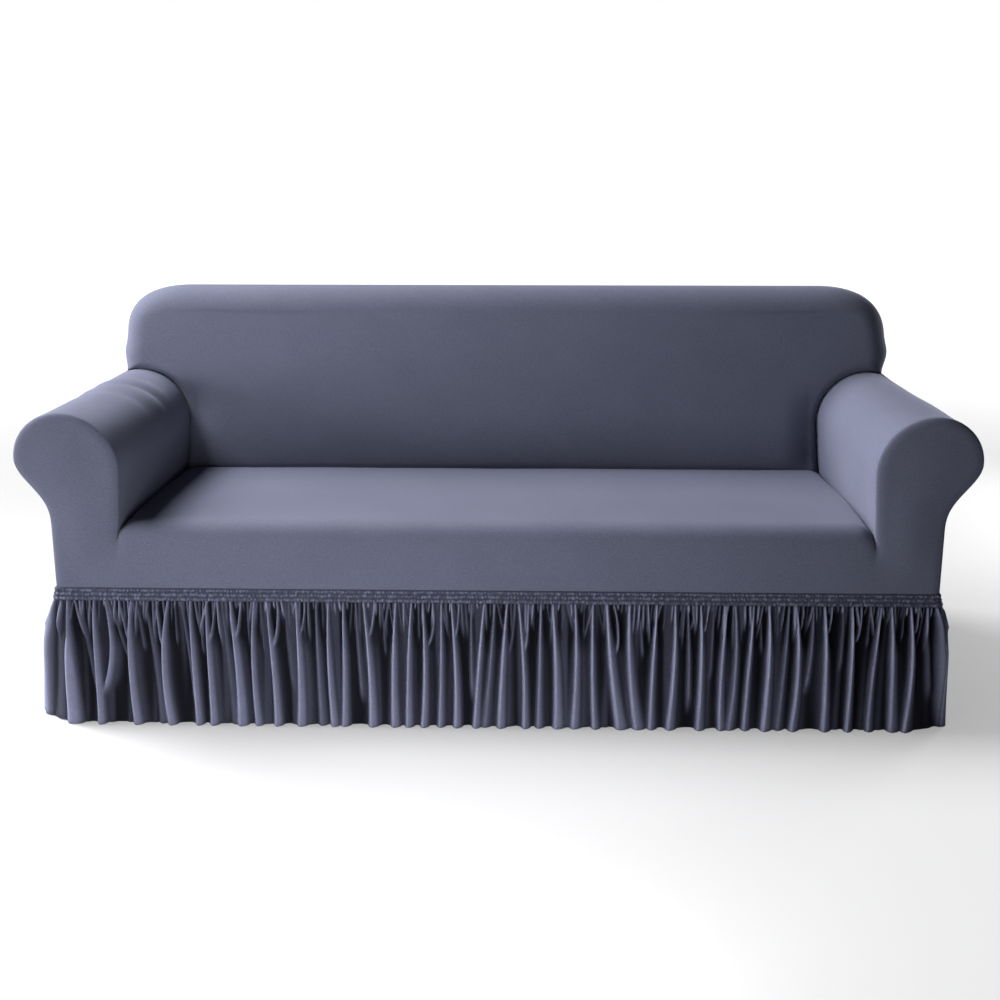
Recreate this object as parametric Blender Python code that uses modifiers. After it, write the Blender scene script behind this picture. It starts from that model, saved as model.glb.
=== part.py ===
"""Stretch slipcover for a three-seat sofa with rolled arms.

A hollow cover, open underneath, sewn from knit panels, with a shirred band and a gathered skirt whose hem
meets the floor. Metres, +Z up, front towards -Y, +X to the viewer's right. The origin is on the floor, under
the middle of the cover. Each piece is the outer face of its cloth, given a thickness inwards.
"""

import math
import random

import bmesh
import bpy
from mathutils import Vector

# ---- Cloth -------------------------------------------------------------------------------------------------
CLOTH = 0.002  # thickness of the knit
GAP = 0.0004  # between two edges that are sewn together
KNIT_COLOUR = (0.118, 0.124, 0.181, 1.0)  # slate blue-grey
BAND_COLOUR = (0.098, 0.103, 0.152, 1.0)  # the same cloth, drawn up dense

# ---- Body of the cover ---------------------------------------------------------------------------------------
HALF_DEPTH = 0.445  # front and rear planes, from the middle
PANEL_LOW = 0.286  # lower edge of every panel, behind the band
BAND_LOW = 0.2866
BAND_HIGH = 0.3145
EDGE_TURN = 0.006  # radius at which a front or rear panel turns round its edge
SEAM_BACK = 0.010  # its seam lies this far behind the face
PANEL_BULGE = 0.004  # how far a flat-looking panel swells over the stuffing

# ---- Arms (sizes for the right arm; the left one is its mirror image) ----------------------------------------
ARM_IN_LOW = 0.853  # inner face, where the seat crease ends on the front
ARM_IN_HIGH = 0.838  # inner face, where the roll begins
ARM_OUT = 1.004  # outer face of the post
TIP_Z = 0.427  # height at which the seat crease ends on the front
ROLL_START_Z = 0.590  # the roll begins on the inner face
ROLL_TOP_X, ROLL_TOP_Z = 0.970, 0.717
ROLL_OUT_X, ROLL_OUT_Z = 1.077, 0.613  # outermost point of the roll
POST_TOP_Z = 0.450  # the hollow under the roll ends here
UNDERCUT_POWER = 1.6  # how late the hollow opens under the roll
ARM_RISE = 0.004  # the roll is this much higher at its rear end
ARM_SAG = 0.004  # and this much lower between its ends

# ---- Seat ----------------------------------------------------------------------------------------------------
SEAT_Z = 0.468  # top of the seat at its front edge
SEAT_CROWN = 0.010  # how far its middle stands above its edges
SEAT_NOSE = 0.045  # depth of the rounded front edge
SEAT_BACK_Y = 0.143  # the seat meets the back here
CREASE_DEPTH = 0.028  # how deep a panel is tucked into a crease
REAR_ROLL = 0.014  # radius at which the seat turns down into the rear crease

# ---- Back ----------------------------------------------------------------------------------------------------
BACK_TOP_Z = 0.932
BACK_LEAN = 0.200  # the inside back leans this far for each metre of height
BACK_BULGE = 0.014
BACK_CORNER_X, BACK_CORNER_Z = 0.160, 0.120  # half axes of each rounded top corner
BACK_SIDE_SWELL = 0.010  # its side stands out this far, just above the roll
BACK_EDGE_TURN = 0.050  # radius of the front edge, top and sides
ARM_CREASE_TURN = 0.012  # radius at which the back turns into an arm's crease
NOTCH_Y = 0.240  # the inner part of a sleeve ends here, inside the back

# ---- Skirt ---------------------------------------------------------------------------------------------------
SKIRT_TOP = PANEL_LOW - GAP
HEM_Z = 0.0003  # the hem just meets the floor
HEM_CORNER = 0.060  # plan radius of the corners at the hem
FOLD_SHAPE = (0.0, 0.82, 1.0, 0.82)  # height of a fold's four columns, from one valley to the next
FOLD_PLACE = (0.0, 0.27, 0.5, 0.73)  # and where they stand across it
# A row for each height of the skirt: height, how far valleys and crests stand out from the panels, and how much
# of a fold's sideways lean is reached there.
SKIRT_ROWS = (
    # z, valley, crest, lean
    (SKIRT_TOP, 0.000, 0.006, 0.0),
    (0.258, 0.002, 0.036, 0.3),
    (0.150, 0.008, 0.048, 0.7),
    (HEM_Z, 0.014, 0.058, 1.0),
)
LEAN_MOST = 0.010  # most that a fold's foot stands beside its head
HEM_LIFT_MOST = 0.008  # some folds stop short of the floor by up to this
# Distance from each fold of the front to the next, left to right, in centimetres.
FRONT_FOLDS_CM = (
    3.7, 5.5, 3.2, 4.7, 4.7, 3.1, 6.6, 3.5, 6.5, 4.0, 4.7, 5.8, 4.0, 2.7, 3.0, 3.7, 2.5,
    5.6, 3.2, 3.7, 3.8, 3.6, 3.4, 3.4, 4.0, 4.5, 3.6, 3.6, 4.7, 3.6, 4.5, 4.0, 5.8, 4.0,
    3.4, 2.9, 4.7, 2.9, 3.1, 4.0, 3.8, 3.1, 2.9, 3.6, 5.4, 5.4, 3.1, 4.9, 2.7, 3.6,
)  # fmt: skip
OTHER_FOLDS_CM = (4.6, 8.2)  # narrowest and widest fold of the sides and the back


def lerp(a, b, t):
    return a + (b - a) * t


def smooth(low, high, value):
    """0 below low, 1 above high, and a soft step between."""
    t = min(1.0, max(0.0, (value - low) / (high - low)))
    return t * t * (3 - 2 * t)


# ---- Outlines ------------------------------------------------------------------------------------------------


def inner_wall(z):
    """x of the arm's inner face, which leans over the seat a little."""
    return lerp(ARM_IN_LOW, ARM_IN_HIGH, smooth(TIP_Z - 0.10, ROLL_START_Z + 0.08, z))


def outer_wall(z):
    """x of the arm's outer face, from the post out to the widest point of the roll."""
    if z <= POST_TOP_Z:
        return ARM_OUT
    t = (z - POST_TOP_Z) / (ROLL_OUT_Z - POST_TOP_Z)
    return lerp(ARM_OUT, ROLL_OUT_X, (0.5 - 0.5 * math.cos(math.pi * t)) ** UNDERCUT_POWER)


def quarter(centre, half_axes, start, stop, steps):
    """Points along part of an ellipse, angles in degrees, without the first one."""
    points = []
    for k in range(1, steps + 1):
        angle = math.radians(lerp(start, stop, k / steps))
        points.append((centre[0] + half_axes[0] * math.cos(angle), centre[1] + half_axes[1] * math.sin(angle)))
    return points


APRON_LEVELS = (PANEL_LOW, BAND_HIGH + 0.006, 0.370, TIP_Z)
TIP = len(APRON_LEVELS) - 1  # row of the crease's end


def arm_inner():
    """(x, z) up the inner side of an arm front, to the top of the roll."""
    levels = APRON_LEVELS + (0.458, 0.500, 0.545)
    points = [(ARM_IN_LOW, z) for z in levels[: TIP + 1]]
    points += [(inner_wall(z), z) for z in levels[TIP + 1 :]]
    start = (inner_wall(ROLL_START_Z), ROLL_START_Z)
    half_axes = (ROLL_TOP_X - start[0], ROLL_TOP_Z - ROLL_START_Z)
    return points + [start] + quarter((ROLL_TOP_X, ROLL_START_Z), half_axes, 180, 90, 6)


def arm_outer():
    """(x, z) up the outer side, with as many points as the inner one."""
    levels = APRON_LEVELS + (POST_TOP_Z, 0.490, 0.520, 0.550, 0.580, ROLL_OUT_Z)
    half_axes = (ROLL_OUT_X - ROLL_TOP_X, ROLL_TOP_Z - ROLL_OUT_Z)
    return [(outer_wall(z), z) for z in levels] + quarter((ROLL_TOP_X, ROLL_OUT_Z), half_axes, 0, 90, 4)


INNER, OUTER = arm_inner(), arm_outer()
ARM_ROWS = len(INNER)
BESIDE_BACK = ARM_ROWS - 2  # the point of OUTER where the side of the back stands on the roll


def on_arm(point, y):
    """A point of the arm's outline, at a depth y: the roll rises to the rear and sags between its ends."""
    along = (y + HALF_DEPTH) / (2 * HALF_DEPTH)
    lift = ARM_RISE * along - ARM_SAG * math.sin(math.pi * min(1.0, max(0.0, along)))
    return point[1] + lift * smooth(POST_TOP_Z, ROLL_TOP_Z, point[1])


def normals(outline):
    """Unit normals of an (x, z) outline, to the right of its direction."""
    found = []
    for k in range(len(outline)):
        a, b = outline[max(0, k - 1)], outline[min(len(outline) - 1, k + 1)]
        dx, dz = b[0] - a[0], b[1] - a[1]
        length = math.hypot(dx, dz)
        found.append((dz / length, -dx / length))
    return found


def edge_steps():
    """(outwards, backwards) from the rim of a face: round its edge, then straight on to the seam."""
    steps = []
    for angle in (0, 45, 90):
        a = math.radians(angle)
        steps.append((EDGE_TURN * math.sin(a), EDGE_TURN * (1 - math.cos(a))))
    return steps + [(EDGE_TURN, SEAM_BACK)]


EDGE_STEPS = edge_steps()

# ---- Sheets --------------------------------------------------------------------------------------------------


class Sheet:
    """The outer face of one piece of cloth. Points that coincide are shared, so grids join along their edges."""

    def __init__(self):
        self.points, self.index, self.faces = [], {}, []

    def vertex(self, p):
        key = tuple(round(c * 1e6) for c in p)
        if key not in self.index:
            self.index[key] = len(self.points)
            self.points.append(p)
        return self.index[key]

    def add(self, rows, side=1):
        """Adds a grid of points, given as rows of equal length, mirrored in X when side is -1."""
        ids = [[self.vertex((side * x, y, z)) for x, y, z in row] for row in rows]
        for low, high in zip(ids, ids[1:]):
            for k in range(len(low) - 1):
                corners = []
                for corner in (low[k], low[k + 1], high[k + 1], high[k]):
                    if corner not in corners:
                        corners.append(corner)
                if len(corners) > 2:
                    self.faces.append(corners)

    def solid(self, name, core, material, thickness=CLOTH):
        """Makes the object: its faces point away from core, and it is as thick as the cloth."""
        mesh = bpy.data.meshes.new(name)
        mesh.from_pydata(self.points, [], self.faces)
        work = bmesh.new()
        work.from_mesh(mesh)
        bmesh.ops.recalc_face_normals(work, faces=work.faces)
        facing = 0.0
        for face in work.faces:
            middle = face.calc_center_median()
            facing += face.calc_area() * face.normal.dot(middle - core(middle))
        if facing < 0:
            bmesh.ops.reverse_faces(work, faces=work.faces)
        work.to_mesh(mesh)
        work.free()
        mesh.shade_smooth()
        mesh.materials.append(material)
        piece = bpy.data.objects.new(name, mesh)
        cover.objects.link(piece)
        wall = piece.modifiers.new("cloth", "SOLIDIFY")
        wall.thickness = thickness
        wall.offset = -1
        return piece


# ---- Front panel: seat, apron and arm fronts, in one ----------------------------------------------------------

SEAT_COLUMNS = (0.0, 0.14, 0.28, 0.42, 0.55, 0.66, 0.745, 0.800, 0.832)  # |x|, then the edge
SEAT_EDGE_DIP = (0, 0, 0, 0, 0, 0.0, 0.03, 0.14, 0.48)  # share of the crease's depth at each of them


def seat_profile():
    """(y, z, inward y, inward z, tuck) of the middle of the panel, from the band to the rear crease."""
    rows = [(-HALF_DEPTH, z, 1.0, 0.0, 0.0) for z in APRON_LEVELS]
    nose_y = -HALF_DEPTH + SEAT_NOSE
    for step, tuck in ((18, 0.25), (36, 0.55), (54, 0.85), (72, 1.0), (90, 1.0)):
        angle = math.radians(step)
        y = nose_y - SEAT_NOSE * math.cos(angle)
        z = TIP_Z + (SEAT_Z - TIP_Z) * math.sin(angle)
        rows.append((y, z, math.cos(angle), -math.sin(angle), tuck))
    last = SEAT_BACK_Y - GAP - REAR_ROLL
    for k in range(1, 6):
        rows.append((lerp(nose_y, last, k / 5), SEAT_Z, 0.0, -1.0, 1.0))
    rows.append((last + REAR_ROLL * 0.75, SEAT_Z - REAR_ROLL * 0.35, 0.0, -1.0, 1.0))
    rows.append((last + REAR_ROLL, SEAT_Z - CREASE_DEPTH, 0.0, -1.0, 0.0))
    return rows


def seat_grid():
    """Rows of points from the left crease to the right one."""
    rows = []
    for y, z, in_y, in_z, tuck in seat_profile():
        along = smooth(-HALF_DEPTH, -HALF_DEPTH + 0.25, y) * (1 - smooth(0.0, SEAT_BACK_Y, y))
        apron = math.sin(math.pi * min(1.0, max(0.0, (z - BAND_HIGH) / (SEAT_Z - BAND_HIGH))))
        half = []
        for x, dip in zip(SEAT_COLUMNS + (None,), SEAT_EDGE_DIP + (1.0,)):
            depth = CREASE_DEPTH * dip * tuck
            side_y, side_z = y + in_y * depth, z + in_z * depth
            if x is None:
                x = inner_wall(side_z) - GAP if tuck or y > 0 else ARM_IN_LOW
            swell = 1 - (x / ARM_IN_LOW) ** 4
            if in_z > -0.5:
                side_y -= PANEL_BULGE * apron * swell
            half.append((x, side_y, side_z + SEAT_CROWN * along * swell))
        rows.append([(-x, y, z) for x, y, z in reversed(half[1:])] + half)
    return rows


def arm_front(side, sheet):
    """A scroll-shaped arm front, joined to the apron below the crease's end, and turned back at its edge."""
    outline = INNER + OUTER[-2::-1]
    turns = [0.0] * (TIP + 1) + [EDGE_TURN] * (len(outline) - TIP - 1)
    outward = [(-nx, -nz) for nx, nz in normals(outline)]
    inset = [(p[0] - n[0] * t, p[1] - n[1] * t) for p, n, t in zip(outline, outward, turns)]
    rows = []
    for k in range(ARM_ROWS):
        a, b = inset[k], inset[-1 - k] if k < ARM_ROWS - 1 else inset[k]
        row = []
        for u in (0.0, 0.2, 0.4, 0.6, 0.8, 1.0):
            x, z = lerp(a[0], b[0], u), lerp(a[1], b[1], u)
            swell = math.sin(math.pi * u) * smooth(BAND_HIGH, 0.40, z) * (1 - smooth(0.62, ROLL_TOP_Z, z))
            row.append((x, -HALF_DEPTH - 1.5 * PANEL_BULGE * swell, z))
        rows.append(row)
    sheet.add(rows, side)
    rings = []
    for out, back in EDGE_STEPS:
        ring = []
        for p, n, t in list(zip(inset, outward, turns))[TIP:]:
            if t:
                ring.append((p[0] + n[0] * out, -HALF_DEPTH + back, p[1] + n[1] * out))
            else:
                ring.append((p[0], -HALF_DEPTH, p[1]))
        rings.append(ring)
    sheet.add(rings, side)


def front_panel(material):
    sheet = Sheet()
    sheet.add(seat_grid())
    for side in (-1, 1):
        arm_front(side, sheet)
    return sheet.solid("front_panel", lambda p: Vector((p.x, p.y + 0.2, p.z - 0.2)), material)


# ---- Arm sleeves ---------------------------------------------------------------------------------------------

SLEEVE_FRONT = -HALF_DEPTH + SEAM_BACK + GAP
SLEEVE_REAR = HALF_DEPTH - SEAM_BACK - GAP


def arm_sleeve(name, side, material):
    """Inside arm, roll and outside arm. Beside the back, only the part outside it goes on to the rear."""
    inner = INNER[TIP:]
    outline = inner + OUTER[-2::-1]
    outer_from = len(inner) + (len(OUTER) - 2 - BESIDE_BACK)

    def row(y, points):
        return [(x, y, on_arm((x, z), y)) for x, z in points]

    sheet = Sheet()
    depths = (SLEEVE_FRONT, -0.36, -0.24, -0.12, 0.0, 0.11, NOTCH_Y)
    sheet.add([row(y, outline) for y in depths], side)
    sheet.add([row(y, outline[outer_from:]) for y in (NOTCH_Y, 0.33, SLEEVE_REAR)], side)
    return sheet.solid(name, lambda p: Vector((side * 0.93, p.y, 0.5)), material)


# ---- Back ----------------------------------------------------------------------------------------------------

BACK_OUT_X = OUTER[BESIDE_BACK][0]


def back_outline():
    """(x, z) up the free side of the back, above the roll, and round its corner."""
    centre = (BACK_OUT_X - BACK_CORNER_X, BACK_TOP_Z - BACK_CORNER_Z)
    side = [(BACK_OUT_X + BACK_SIDE_SWELL, 0.772), (BACK_OUT_X, centre[1])]
    return side + quarter(centre, (BACK_CORNER_X, BACK_CORNER_Z), 0, 90, 4)


def back_face_y(x, z):
    """The inside back leans to the rear and swells between its edges."""
    swell = (1 - (x / BACK_OUT_X) ** 4) * math.sin(math.pi * min(1.0, (z - SEAT_Z + 0.03) / 0.52))
    return SEAT_BACK_Y + BACK_LEAN * (z - SEAT_Z + CREASE_DEPTH) - BACK_BULGE * swell


def across(edge, centre_z, fractions, y_of):
    """A row from the left edge of a back panel to the right one; its middle is at centre_z."""
    row = []
    for u in fractions:
        x, z = u * edge[0], lerp(centre_z, edge[1], abs(u) ** 2)
        row.append((x, y_of(x, z), z))
    return row


def both_sides(values):
    return [-v for v in reversed(values[1:])] + list(values)


BACK_COLUMNS = both_sides((0.0, 0.17, 0.34, 0.50, 0.65, 0.79, 0.90, 1.0))


def inside_back(material):
    """Front of the back. It is tucked in along the arms, and elsewhere turned over the edge to the rear seam."""
    low = SEAT_Z - CREASE_DEPTH
    crease_y = SEAT_BACK_Y + BACK_LEAN * 0.15
    arm = [(inner_wall(low), low)] + INNER[TIP + 1 :] + [OUTER[BESIDE_BACK]]
    outline = [(x, on_arm((x, z), crease_y)) for x, z in arm] + back_outline()
    outward = normals(outline)
    beside_arm = len(arm) - 1
    outward[0], outward[beside_arm], outward[-1] = (1.0, 0.0), (0.7071, -0.7071), (0.0, 1.0)
    free = len(outline) - beside_arm - 1
    turns = [ARM_CREASE_TURN] * beside_arm + [2 * ARM_CREASE_TURN] + [BACK_EDGE_TURN] * free
    clear = [GAP] * (beside_arm + 1) + [0.0] * free
    inset = [(p[0] - n[0] * (t + c), p[1] - n[1] * (t + c)) for p, n, t, c in zip(outline, outward, turns, clear)]
    inset[0] = (inset[0][0], low)
    last = len(outline) - 1
    rows = []
    for k, edge in enumerate(inset):
        centre_z = lerp(low, inset[-1][1], (k / last) ** 0.9)
        rows.append(across(edge, centre_z, BACK_COLUMNS, back_face_y))
    sheet = Sheet()
    sheet.add(rows)
    # The rim runs up the left edge, over the top and down the right edge: point, normal, turn, place on the arm.
    arm += [None] * free
    right = list(zip([row[-1] for row in rows], outward, turns, arm))
    rim = [((-p[0], p[1], p[2]), (-n[0], n[1]), t, on) for p, n, t, on in right[:-1]]
    rim += [(p, (0.0, 1.0), BACK_EDGE_TURN, None) for p in rows[-1]]
    rim += right[-2::-1]
    rings = []
    for angle, reach in ((0, 0), (30, 0), (60, 0), (90, 0), (90, 0.5), (90, 1)):
        a = math.radians(angle)
        ring = []
        for p, n, t, on in rim:
            out, y = t * math.sin(a), p[1] + t * (1 - math.cos(a))
            tucked = on and on != OUTER[BESIDE_BACK]
            y = lerp(y, p[1] + CREASE_DEPTH if tucked else SLEEVE_REAR, reach)
            rise = on_arm(on, y) - on_arm(on, crease_y) if on else 0.0
            ring.append((p[0] + n[0] * out, y, p[2] + n[1] * out + rise))
        rings.append(ring)
    for ring in rings[1:]:
        ring[0], ring[-1] = ((x, y, low) for x, y, z in (ring[0], ring[-1]))
    rings[0] = [p for p, n, t, on in rim]
    sheet.add(rings)
    return sheet.solid("inside_back", lambda p: Vector((p.x * 0.8, 0.4, 0.6)), material)


def outside_back(material):
    """The rear face, out to the ends of the rolls, with its edge turned forward to the seam."""
    arm = [(x, on_arm((x, z), HALF_DEPTH)) for x, z in OUTER[: BESIDE_BACK + 1]]
    outline = arm + back_outline()
    outward = normals(outline)
    outward[-1] = (0.0, 1.0)
    inset = [(p[0] - n[0] * EDGE_TURN, p[1] - n[1] * EDGE_TURN) for p, n in zip(outline, outward)]
    inset[0] = (inset[0][0], PANEL_LOW)

    def rear(x, z):
        swell = (1 - (x / ROLL_OUT_X) ** 4) * math.sin(math.pi * max(0.0, (z - BAND_HIGH) / 0.64))
        return HALF_DEPTH + PANEL_BULGE * swell

    fractions = both_sides((0.0, 0.22, 0.44, 0.66, 0.86, 1.0))
    rows = [across(edge, edge[1], fractions, rear) for edge in inset]
    for row in rows:
        for end in (0, -1):
            row[end] = (row[end][0], HALF_DEPTH, row[end][2])
    rows[-1] = [(x, HALF_DEPTH, z) for x, y, z in rows[-1]]
    sheet = Sheet()
    sheet.add(rows)
    right = list(zip([row[-1] for row in rows], outward))
    rim = [((-p[0], p[1], p[2]), (-n[0], n[1])) for p, n in right[:-1]]
    rim += [(p, (0.0, 1.0)) for p in rows[-1]] + right[-2::-1]
    rings = []
    for out, back in EDGE_STEPS:
        rings.append([(p[0] + n[0] * out, p[1] - back, p[2] + n[1] * out) for p, n in rim])
    sheet.add(rings)
    return sheet.solid("outside_back", lambda p: Vector((p.x * 0.8, 0.0, p.z * 0.8)), material)


# ---- Band and skirt ------------------------------------------------------------------------------------------


def plan_side(half_width, half_depth, radius, places):
    """Points and outward normals along one side of a rounded rectangle, between the middles of its corners.

    The side faces -Y and runs along +X. places are fractions of its length.
    """
    straight = 2 * (half_width - radius)
    arc = radius * math.pi / 4
    total = straight + 2 * arc
    found = []
    for place in places:
        s = place * total
        if s < arc:
            angle = (arc - s) / radius
            x, y = -(half_width - radius) - radius * math.sin(angle), -half_depth + radius * (1 - math.cos(angle))
            normal = (-math.sin(angle), -math.cos(angle))
        elif s > arc + straight:
            angle = (s - arc - straight) / radius
            x, y = half_width - radius + radius * math.sin(angle), -half_depth + radius * (1 - math.cos(angle))
            normal = (math.sin(angle), -math.cos(angle))
        else:
            x, y = s - arc - (half_width - radius), -half_depth
            normal = (0.0, -1.0)
        found.append(((x, y), normal))
    return found


# The four sides, each as a quarter-turn of the front: name, half width, half depth and turn.
SIDES = {
    "front": (ARM_OUT, HALF_DEPTH, 0),
    "right": (HALF_DEPTH, ARM_OUT, 1),
    "back": (ARM_OUT, HALF_DEPTH, 2),
    "left": (HALF_DEPTH, ARM_OUT, 3),
}


def turned(point, quarter_turns):
    x, y = point
    for _ in range(quarter_turns):
        x, y = -y, x
    return x, y


BAND_OUT = 0.0022  # how far the band's ridges stand out from its stitched rows
BAND_PROFILE = ((0.0, 0.4), (0.14, 1.0), (0.33, 0.0), (0.5, 1.0), (0.67, 0.0), (0.86, 1.0), (1.0, 0.4))


def shirred_band(material):
    """A ring round the lower edge of the panels, drawn in along two rows of elastic."""
    rings = []
    for height, ridge in BAND_PROFILE:
        out = GAP + CLOTH + BAND_OUT * ridge
        ring = []
        for half_width, half_depth, turns in SIDES.values():
            corner = EDGE_TURN + out
            arc = corner * math.pi / 4 / (2 * half_width)
            places = (0.0, arc * 0.5, arc, 0.5, 1 - arc, 1 - arc * 0.5)
            for (x, y), _ in plan_side(half_width + out, half_depth + out, corner, places):
                ring.append((*turned((x, y), turns), lerp(BAND_LOW, BAND_HIGH, height)))
        rings.append(ring + ring[:1])
    sheet = Sheet()
    sheet.add(rings)
    return sheet.solid("shirred_band", lambda p: Vector((0, 0, p.z)), material)


def fold_places(side, length):
    """Where each fold of a side begins, as fractions of its length."""
    if side == "front":
        widths = [w / 100 for w in FRONT_FOLDS_CM]
    else:
        dice = random.Random(side)
        widths = []
        while sum(widths) < length:
            widths.append(dice.uniform(*OTHER_FOLDS_CM) / 100)
    places = [0.0]
    for width in widths:
        places.append(places[-1] + width / sum(widths))
    return places


def skirt(side, material):
    """One width of the gathered skirt. Its folds start at the band and widen to the hem."""
    half_width, half_depth, turns = SIDES[side]
    places = fold_places(side, 2 * half_width)
    dice = random.Random(side + " folds")
    folds = []
    for start, stop in zip(places, places[1:]):
        folds.append((start, stop, dice.uniform(0.75, 1.1), dice.uniform(-1, 1), dice.random()))
    grid = []
    for z, valley, crest, lean in SKIRT_ROWS:
        drop = 1 - z / SKIRT_TOP
        radius = lerp(EDGE_TURN, HEM_CORNER, drop**0.6)
        columns, heights, lifts = [], [], []
        for start, stop, size, side_lean, lift in folds:
            shift = side_lean * LEAN_MOST * lean / (2 * half_width)
            width = stop - start
            for place, height in zip(FOLD_PLACE, FOLD_SHAPE):
                inside = math.sin(math.pi * place)
                columns.append(start + width * place + shift * inside)
                heights.append(height * size)
                lifts.append(HEM_LIFT_MOST * max(0.0, lift - 0.5) * drop**8)
        columns.append(1.0)
        heights.append(0.0)
        lifts.append(0.0)
        row = []
        path = plan_side(half_width, half_depth, radius, columns)
        for ((x, y), (nx, ny)), height, lift in zip(path, heights, lifts):
            out = lerp(valley, crest, height)
            row.append((*turned((x + nx * out, y + ny * out), turns), z + lift))
        ends = turned((GAP / 2, 0.0), turns)
        row[0] = (row[0][0] + ends[0], row[0][1] + ends[1], row[0][2])
        row[-1] = (row[-1][0] - ends[0], row[-1][1] - ends[1], row[-1][2])
        grid.append(row)
    sheet = Sheet()
    sheet.add(grid)
    return sheet.solid("skirt_" + side, lambda p: Vector((0, 0, p.z)), material)


# ---- Assembly ------------------------------------------------------------------------------------------------


def knit(name, colour):
    material = bpy.data.materials.new(name)
    material.use_nodes = True
    shader = material.node_tree.nodes["Principled BSDF"]
    shader.inputs["Base Color"].default_value = colour
    shader.inputs["Roughness"].default_value = 0.85
    shader.inputs["Metallic"].default_value = 0.0
    return material


for old in list(bpy.data.objects):
    bpy.data.objects.remove(old)
cover = bpy.data.collections.new("sofa_slipcover")
bpy.context.scene.collection.children.link(cover)

front_panel(knit("front_panel", KNIT_COLOUR))
arm_sleeve("arm_sleeve_left", -1, knit("arm_sleeve_left", KNIT_COLOUR))
arm_sleeve("arm_sleeve_right", 1, knit("arm_sleeve_right", KNIT_COLOUR))
inside_back(knit("inside_back", KNIT_COLOUR))
outside_back(knit("outside_back", KNIT_COLOUR))
shirred_band(knit("shirred_band", BAND_COLOUR))
for side_name in SIDES:
    skirt(side_name, knit("skirt_" + side_name, KNIT_COLOUR))
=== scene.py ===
# %% [markdown]
# # A stretch slipcover for a three-seat sofa
# The real thing is a knitted cover that is pulled over a sofa with rolled arms. Its panels are stretched
# smooth, a narrow band is drawn in on elastic all the way round, and a gathered skirt hangs from the band
# to the floor. Nothing here is thicker than two millimetres, so every piece is made as a sheet: a flat
# grid from the Add menu, whose points are moved to where the stretched or gathered cloth lies, and which
# then gets its thickness. The measured model is loaded first. It fixes every size, and the pieces below
# only dress it.

# %% Load the measured model
import math

import bpy
import numpy as np
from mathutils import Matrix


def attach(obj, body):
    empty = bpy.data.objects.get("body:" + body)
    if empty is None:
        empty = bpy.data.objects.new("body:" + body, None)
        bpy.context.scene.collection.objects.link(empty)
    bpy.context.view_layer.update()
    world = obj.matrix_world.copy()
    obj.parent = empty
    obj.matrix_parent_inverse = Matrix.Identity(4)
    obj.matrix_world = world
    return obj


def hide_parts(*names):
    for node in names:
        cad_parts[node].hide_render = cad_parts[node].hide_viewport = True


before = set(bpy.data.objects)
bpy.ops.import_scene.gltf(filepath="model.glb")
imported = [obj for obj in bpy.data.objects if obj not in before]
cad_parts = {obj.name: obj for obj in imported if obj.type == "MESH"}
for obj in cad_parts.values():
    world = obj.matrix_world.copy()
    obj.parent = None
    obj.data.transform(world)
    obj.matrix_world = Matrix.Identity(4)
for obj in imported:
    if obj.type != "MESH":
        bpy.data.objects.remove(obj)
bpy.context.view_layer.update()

# %% [markdown]
# ## Camera
# The camera is made before anything else, so that each piece can be judged from where the photograph was
# taken: a little to the right of the middle, about 2.8 m in front of the skirt and 1.25 m up, looking
# slightly down and to the left. It could be placed by eye; here its place and lens were fitted to the
# cover's outlines, so that a render can be laid over the photograph. The lens is given by its focal
# length on a 36 mm wide sensor.

# %% Camera
CAMERA_AT = (0.088, -3.2977, 1.2542)
LOOKS_DOWN = 0.2496  # radians below the horizon
TURNED_LEFT = 0.0262
FOCAL_LENGTH_MM = 47.63

eye = bpy.data.objects.new("studio_camera", bpy.data.cameras.new("studio_camera"))
bpy.context.scene.collection.objects.link(eye)
eye.location = CAMERA_AT
eye.rotation_euler = (math.pi / 2 - LOOKS_DOWN, 0.0, TURNED_LEFT)
eye.data.sensor_width = 36.0
eye.data.lens = FOCAL_LENGTH_MM
eye.data.clip_end = 120.0
bpy.context.scene.camera = eye
print("camera at", CAMERA_AT, "with a lens of", FOCAL_LENGTH_MM, "mm")

# %% [markdown]
# ## Floor and light
# The floor and the air are only there to be seen, as on a studio's lit backdrop: both show the camera a
# pale glow, stronger with distance until it ends in white, and throw hardly any light back, so that the
# cloth keeps its dark side. The light comes from the left: a soft panel beside the left arm and one
# higher up, and a broad daylight from behind on the left, which catches the seat and the right arm's
# inner side. A low panel in front opens the shadows between the folds of the skirt, and one on the right,
# behind, keeps the far side from going dark. A brightly lit floor could look the same, but its light
# would also fall on the cloth.

# %% Helpers for nodes
def remap(tree, value, low, high, to_low=0.0, to_high=1.0):
    """A soft step of a node's value: to_low below low, to_high above high."""
    step = tree.nodes.new("ShaderNodeMapRange")
    step.interpolation_type = "SMOOTHSTEP"
    for socket, number in zip(("From Min", "From Max", "To Min", "To Max"), (low, high, to_low, to_high)):
        step.inputs[socket].default_value = number
    tree.links.new(value, step.inputs["Value"])
    return step.outputs["Result"]


def maths(tree, kind, a, b):
    """Adds or multiplies two values, each of them a number or another node's output."""
    step = tree.nodes.new("ShaderNodeMath")
    step.operation = kind
    for socket, value in zip(step.inputs, (a, b)):
        if isinstance(value, (int, float)):
            socket.default_value = value
        else:
            tree.links.new(value, socket)
    return step.outputs["Value"]


# %% Pale floor
FLOOR_SIDE = 80.0
GLOW_NEAR, GLOW_FAR = (1.0, 0.34), (6.5, 0.85)  # distance from the cover's middle, and the glow there

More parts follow.
